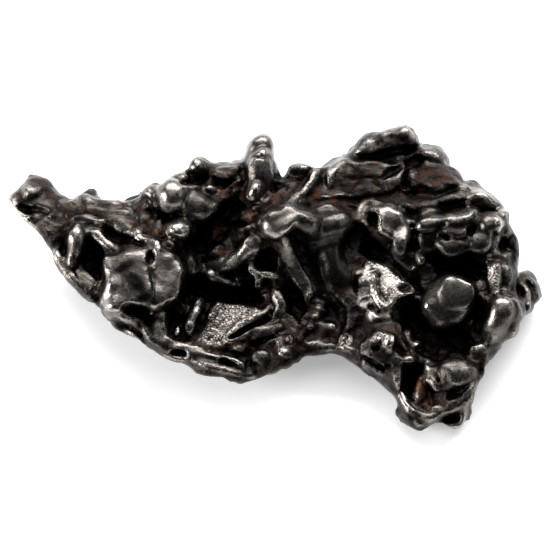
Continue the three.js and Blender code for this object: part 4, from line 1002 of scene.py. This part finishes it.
def largest_shell(verts, quads):
    label = np.arange(len(verts))
    edges = np.vstack([quads[:, [k, (k + 1) % 4]] for k in range(4)])
    while True:
        low = np.minimum(label[edges[:, 0]], label[edges[:, 1]])
        new = label.copy()
        np.minimum.at(new, edges[:, 0], low)
        np.minimum.at(new, edges[:, 1], low)
        new = new[new]
        if (new == label).all():
            break
        label = new
    kept = label == np.bincount(label).argmax()
    renumbered = np.cumsum(kept) - 1
    return verts[kept], renumbered[quads[kept[quads[:, 0]]]]


def read_between(field, axes, points):
    """Reads the field between its samples."""
    total = np.zeros(len(points))
    at = [np.clip((points[:, k] - axes[k][0]) / CELL, 0, field.shape[k] - 1.001) for k in range(3)]
    low = [x.astype(int) for x in at]
    part = [x - i for x, i in zip(at, low)]
    for corner in ((i, j, k) for i in (0, 1) for j in (0, 1) for k in (0, 1)):
        weight = np.ones(len(points))
        for axis in range(3):
            weight *= part[axis] if corner[axis] else 1 - part[axis]
        total += weight * field[tuple(low[axis] + corner[axis] for axis in range(3))]
    return total


def drawn_to_surface(verts, quads, axes, d):
    """Moves the vertices towards the zero of the field, then evens them out."""
    slopes = [g.astype(np.float32) for g in np.gradient(d, CELL)]
    edges = np.vstack([quads[:, [k, (k + 1) % 4]] for k in range(4)])
    count = np.bincount(edges[:, 0], minlength=len(verts)) + np.bincount(edges[:, 1], minlength=len(verts))
    value = read_between(d, axes, verts)
    slope = np.stack([read_between(g, axes, verts) for g in slopes], 1)
    step = value[:, None] * slope / ((slope ** 2).sum(1) + 0.1)[:, None]
    verts -= np.clip(step, -LONGEST_STEP * CELL, LONGEST_STEP * CELL)
    for axis in (0, 1, 2, 0, 1, 2):
        x = verts[:, axis]
        total = np.bincount(edges[:, 0], x[edges[:, 1]], len(verts))
        total += np.bincount(edges[:, 1], x[edges[:, 0]], len(verts))
        verts[:, axis] += EVENED * (total / count - x)
    return verts


def meteorite_mesh(r):
    axes, d = solid_field(r)
    fill_crossings(d)
    verts, quads = largest_shell(*surface_nets(axes, d))
    verts = drawn_to_surface(verts, quads, axes, d)
    body = np.clip(0.5 - d / (2 * CELL), 0, 1).astype(np.float32)
    small = smoothed(body, CREASE_CELLS)
    large = smoothed(body, RECESS_CELLS)
    mesh = bpy.data.meshes.new("meteorite_surface")
    mesh.vertices.add(len(verts))
    mesh.loops.add(quads.size)
    mesh.polygons.add(len(quads))
    mesh.vertices.foreach_set("co", stood_up(verts).astype(np.float32).ravel())
    mesh.loops.foreach_set("vertex_index", quads.astype(np.int32).ravel())
    mesh.polygons.foreach_set("loop_start", np.arange(0, quads.size, 4, dtype=np.int32))
    mesh.update(calc_edges=True)
    mesh.validate()
    a, b, h = verts.T
    front = smooth_step(*FRONT, h - sampled(r.h, r, a, b))
    looks = {name: sampled(layer, r, a, b) * front for name, layer in r.looks.items()}
    looks["calm"] += BACK_CALM * (1 - front)
    looks["hollow"] = read_between(small, axes, verts)
    looks["recess"] = read_between(large, axes, verts)
    for name, values in looks.items():
        layer = mesh.attributes.new(name, "FLOAT", "POINT")
        layer.data.foreach_set("value", values.astype(np.float32))
    mesh.shade_smooth()
    return mesh


def stood_up(points):
    """From the board to the floor's frame: a, b, h to x, y, z, in millimetres."""
    a, b, h = points.T
    return np.stack([a, OUT * b - UP * h, UP * b + OUT * h], 1)


# ------------------------------------------------------------------ material

class Nodes:
    """Short calls for building a node tree."""

    def __init__(self, material):
        material.use_nodes = True
        self.tree = material.node_tree
        self.shader = self.tree.nodes["Principled BSDF"]

    def add(self, kind, **settings):
        node = self.tree.nodes.new(kind)
        for name, value in settings.items():
            setattr(node, name, value)
        return node

    def link(self, source, target):
        if isinstance(source, (int, float)):
            target.default_value = source
        elif isinstance(source, tuple):
            target.default_value = (*source, 1.0)
        else:
            self.tree.links.new(source, target)

    def attribute(self, name):
        return self.add("ShaderNodeAttribute", attribute_name=name).outputs["Fac"]

    def maths(self, operation, x, y=0.0, clamp=False):
        node = self.add("ShaderNodeMath", operation=operation, use_clamp=clamp)
        self.link(x, node.inputs[0])
        self.link(y, node.inputs[1])
        return node.outputs[0]

    def times(self, x, y, clamp=False):
        return self.maths("MULTIPLY", x, y, clamp)

    def plus(self, x, y, clamp=False):
        return self.maths("ADD", x, y, clamp)

    def ramp(self, value, low, high):
        node = self.add("ShaderNodeMapRange", clamp=True, interpolation_type="SMOOTHSTEP")
        self.link(value, node.inputs["Value"])
        node.inputs["From Min"].default_value = low
        node.inputs["From Max"].default_value = high
        return node.outputs["Result"]

    def mix_value(self, factor, x, y):
        return self.mix(factor, x, y, "FLOAT")

    def mix(self, factor, x, y, kind="RGBA"):
        node = self.add("ShaderNodeMix", data_type=kind)
        self.link(factor, node.inputs["Factor"])
        self.link(x, node.inputs["A"])
        self.link(y, node.inputs["B"])
        return node.outputs["Result"]

    def noise(self, size_mm, detail=4.0, roughness=0.55):
        node = self.add("ShaderNodeTexNoise")
        self.link(self.position, node.inputs["Vector"])
        node.inputs["Scale"].default_value = 1 / (size_mm * MM)
        node.inputs["Detail"].default_value = detail
        node.inputs["Roughness"].default_value = roughness
        return node.outputs["Fac"]

    def cells(self, size_mm, output="Distance"):
        node = self.add("ShaderNodeTexVoronoi")
        self.link(self.position, node.inputs["Vector"])
        node.inputs["Scale"].default_value = 1 / (size_mm * MM)
        return node.outputs[output]

    @property
    def position(self):
        return self.add("ShaderNodeTexCoord").outputs["Object"]


PATINA = (0.0060, 0.0052, 0.0046)
OLD_PATINA = (0.0160, 0.0136, 0.0121)
SATIN_METAL = (0.075, 0.067, 0.060)
WORN_METAL = (0.43, 0.395, 0.36)
SHEEN_AND_BRIGHT_METAL = (0.30, 0.278, 0.256)
CRYSTAL = (0.42, 0.37, 0.34)
BROWN_RUST = (0.0200, 0.0060, 0.0020)
ORANGE_RUST = (0.10, 0.030, 0.009)
# Near-black of the painted shade and grime.
SHADE_AND_GRIME_BLACK = (0.003, 0.0026, 0.0023)


def iron_material():
    material = bpy.data.materials.new("nickel_iron")
    n = Nodes(material)
    polish, rust, orange = (n.attribute(name) for name in ("polish", "rust", "orange"))
    grain, light = n.attribute("grain"), n.attribute("light")
    soot, hollow, recess = n.attribute("soot"), n.attribute("hollow"), n.attribute("recess")
    blotches = n.noise(2.2, 5)
    specks = n.noise(0.35, 5, 0.7)

    # Bright worn metal on the edges that stand out, where the looks ask for polish.
    edge = n.ramp(hollow, 0.47, 0.30)
    worn = n.times(edge, n.plus(n.times(polish, 0.8), 0.12))
    worn = n.times(worn, n.ramp(specks, 0.30, 0.62), clamp=True)

    # Dark patina, with satin metal and painted sheen on it, then rust from the hollows up, and painted shade.
    colour = n.mix(n.ramp(blotches, 0.35, 0.7), PATINA, OLD_PATINA)
    colour = n.mix(n.times(polish, n.ramp(blotches, 0.2, 0.7)), colour, SATIN_METAL)
    # Lighter grey where the looks ask for light: painted sheen, and some bright bare metal on the facet.
    colour = n.mix(n.times(light, 0.8), colour, SHEEN_AND_BRIGHT_METAL)
    deep = n.ramp(recess, 0.52, 0.74)
    crease = n.ramp(hollow, 0.53, 0.70)
    rusty = n.plus(n.times(rust, 0.9), n.times(deep, 0.4), clamp=True)
    rusty = n.plus(rusty, n.mix_value(n.attribute("calm"), 0.45, 0.0), clamp=True)
    rusty = n.times(rusty, n.ramp(n.noise(1.1, 4), 0.42, 0.62), clamp=True)
    colour = n.mix(rusty, colour, BROWN_RUST)
    # Painted shade, near-black, in the recesses and creases and where the looks paint shade and grime.
    shade_and_grime_mask = n.maths("MAXIMUM", n.times(deep, 0.9), n.times(crease, 0.85))
    shade_and_grime_mask = n.maths("MAXIMUM", shade_and_grime_mask, n.times(soot, 0.9))
    colour = n.mix(shade_and_grime_mask, colour, SHADE_AND_GRIME_BLACK)
    colour = n.mix(worn, colour, WORN_METAL)

    # Crystals that glitter, and the few spots of orange rust.
    glitter = n.ramp(n.cells(0.28, "Color"), 0.15, 0.9)
    colour = n.mix(n.times(grain, glitter), colour, CRYSTAL)
    colour = n.mix(n.times(orange, n.ramp(n.noise(0.8, 4), 0.25, 0.6)), colour, ORANGE_RUST)
    n.link(colour, n.shader.inputs["Base Color"])

    any_rust = n.maths("MAXIMUM", rusty, orange)
    n.link(n.mix_value(orange, 0.96, 0.40), n.shader.inputs["Metallic"])
    rough = n.mix_value(worn, 0.25, 0.15)
    rough = n.mix_value(n.ramp(specks, 0.35, 0.75), rough, n.plus(rough, 0.14))
    rough = n.mix_value(any_rust, rough, 0.36)
    n.link(rough, n.shader.inputs["Roughness"])

    # Bump for what is finer than the mesh.
    fine = n.noise(0.22, 6, 0.6)
    pits = n.noise(0.7, 5, 0.6)
    height = n.plus(n.times(fine, 0.022), n.times(pits, 0.080))
    height = n.times(height, n.mix_value(n.attribute("calm"), 3.2, 0.6))
    crystals = n.times(n.cells(0.30, "Distance"), n.times(grain, 0.22))
    height = n.plus(height, crystals)
    bump = n.add("ShaderNodeBump")
    bump.inputs["Strength"].default_value = 0.9
    bump.inputs["Distance"].default_value = MM
    n.link(height, bump.inputs["Height"])
    n.link(bump.outputs["Normal"], n.shader.inputs["Normal"])
    return material


# ------------------------------------------------------------------ the piece in its place

def box_of(mesh):
    co = np.empty(len(mesh.vertices) * 3, np.float32)
    mesh.vertices.foreach_get("co", co)
    co = co.reshape(-1, 3)
    return co.min(0), co.max(0), co


def fitted(mesh):
    """Scales and moves the mesh from millimetres to the CAD solid's box. Returns the scale and the shift."""
    low, high, co = box_of(mesh)
    cad_low, cad_high = (np.array(corner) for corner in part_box("meteorite"))
    scale = (cad_high[0] - cad_low[0]) / (high[0] - low[0])
    shift = (cad_low + cad_high) / 2 - scale * (low + high) / 2
    shift[2] = cad_low[2] - scale * low[2]
    mesh.vertices.foreach_set("co", (co * scale + shift).astype(np.float32).ravel())
    mesh.update()
    return scale, shift


FLOOR_GLOW = 0.35  # light that the backlit table gives off itself, which keeps its shadows pale
FLOOR_REACH = 3.0
FLOOR_WHITE = 0.9
FLOOR_GAP = 0.00002
FACE_DEPTH = 8.0  # how far off the board's origin the face lies on average, in millimetres
DAYLIGHT = 0.02
SOFTBOXES = (  # name, place from the piece's middle in x and y, height over the floor, size and power
    ("back_softbox", (0.05, 0.50, 0.48), (1.1, 0.5), 18.0),
    ("left_softbox", (-0.60, -0.10, 0.17), (0.34, 0.22), 6.5),
    ("overhead", (0, 0.05, 0.75), (0.6, 0.6), 1.6),
    ("right_fill", (0.6, 0, 0.3), (0.3, 0.3), 0.5),
)


def floor_at(z):
    mesh = bpy.data.meshes.new("floor")
    corners = [(x * FLOOR_REACH, y * FLOOR_REACH, z) for x, y in ((-1, -1), (1, -1), (1, 1), (-1, 1))]
    mesh.from_pydata(corners, [], [(0, 1, 2, 3)])
    floor = bpy.data.objects.new("floor", mesh)
    bpy.context.collection.objects.link(floor)
    material = bpy.data.materials.new("floor_white")
    n = Nodes(material)
    n.shader.inputs["Base Color"].default_value = (FLOOR_WHITE, FLOOR_WHITE, FLOOR_WHITE, 1)
    n.shader.inputs["Roughness"].default_value = 0.9
    n.shader.inputs["Emission Color"].default_value = (1, 1, 1, 1)
    n.shader.inputs["Emission Strength"].default_value = FLOOR_GLOW
    mesh.materials.append(material)


def area_light(name, place, target, size, power):
    data = bpy.data.lights.new(name, "AREA")
    data.shape = "RECTANGLE"
    data.size, data.size_y = size
    data.energy = power
    light = bpy.data.objects.new(name, data)
    bpy.context.collection.objects.link(light)
    light.location = place
    light.rotation_euler = (Vector(target) - Vector(place)).to_track_quat("-Z", "Y").to_euler()


def studio(centre):
    world = bpy.data.worlds.new("studio")
    bpy.context.scene.world = world
    world.use_nodes = True
    sky = world.node_tree.nodes["Background"].inputs
    sky["Color"].default_value = (1, 1, 1, 1)
    sky["Strength"].default_value = DAYLIGHT
    for name, (x, y, z), size, power in SOFTBOXES:
        area_light(name, (centre[0] + x, centre[1] + y, z), centre, size, power)


def camera(target):
    data = bpy.data.cameras.new("camera")
    data.lens = CAMERA_LENS
    data.sensor_width = SENSOR
    data.clip_end = 10
    distance = PICTURE_WIDTH * MM * CAMERA_LENS / SENSOR
    cam = bpy.data.objects.new("camera", data)
    bpy.context.collection.objects.link(cam)
    cam.location = Vector(target) + distance * Vector((0, -UP, OUT))
    cam.rotation_euler = (math.radians(90) - math.asin(OUT), 0, 0)
    bpy.context.scene.camera = cam


relief = worked_relief()
surface = meteorite_mesh(relief)
scale, shift = fitted(surface)
surface.materials.append(iron_material())
piece = bpy.data.objects.new("meteorite_skin", surface)
bpy.context.collection.objects.link(piece)
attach(piece, "root")
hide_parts("meteorite")

low, high = (Vector(corner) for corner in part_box("meteorite"))
floor_at(low.z - FLOOR_GAP)
studio((low + high) / 2)
target = stood_up(np.array([[0.0, 0.0, FACE_DEPTH]]))[0] * scale + shift
camera(target)
bpy.context.scene.view_settings.view_transform = "Standard"
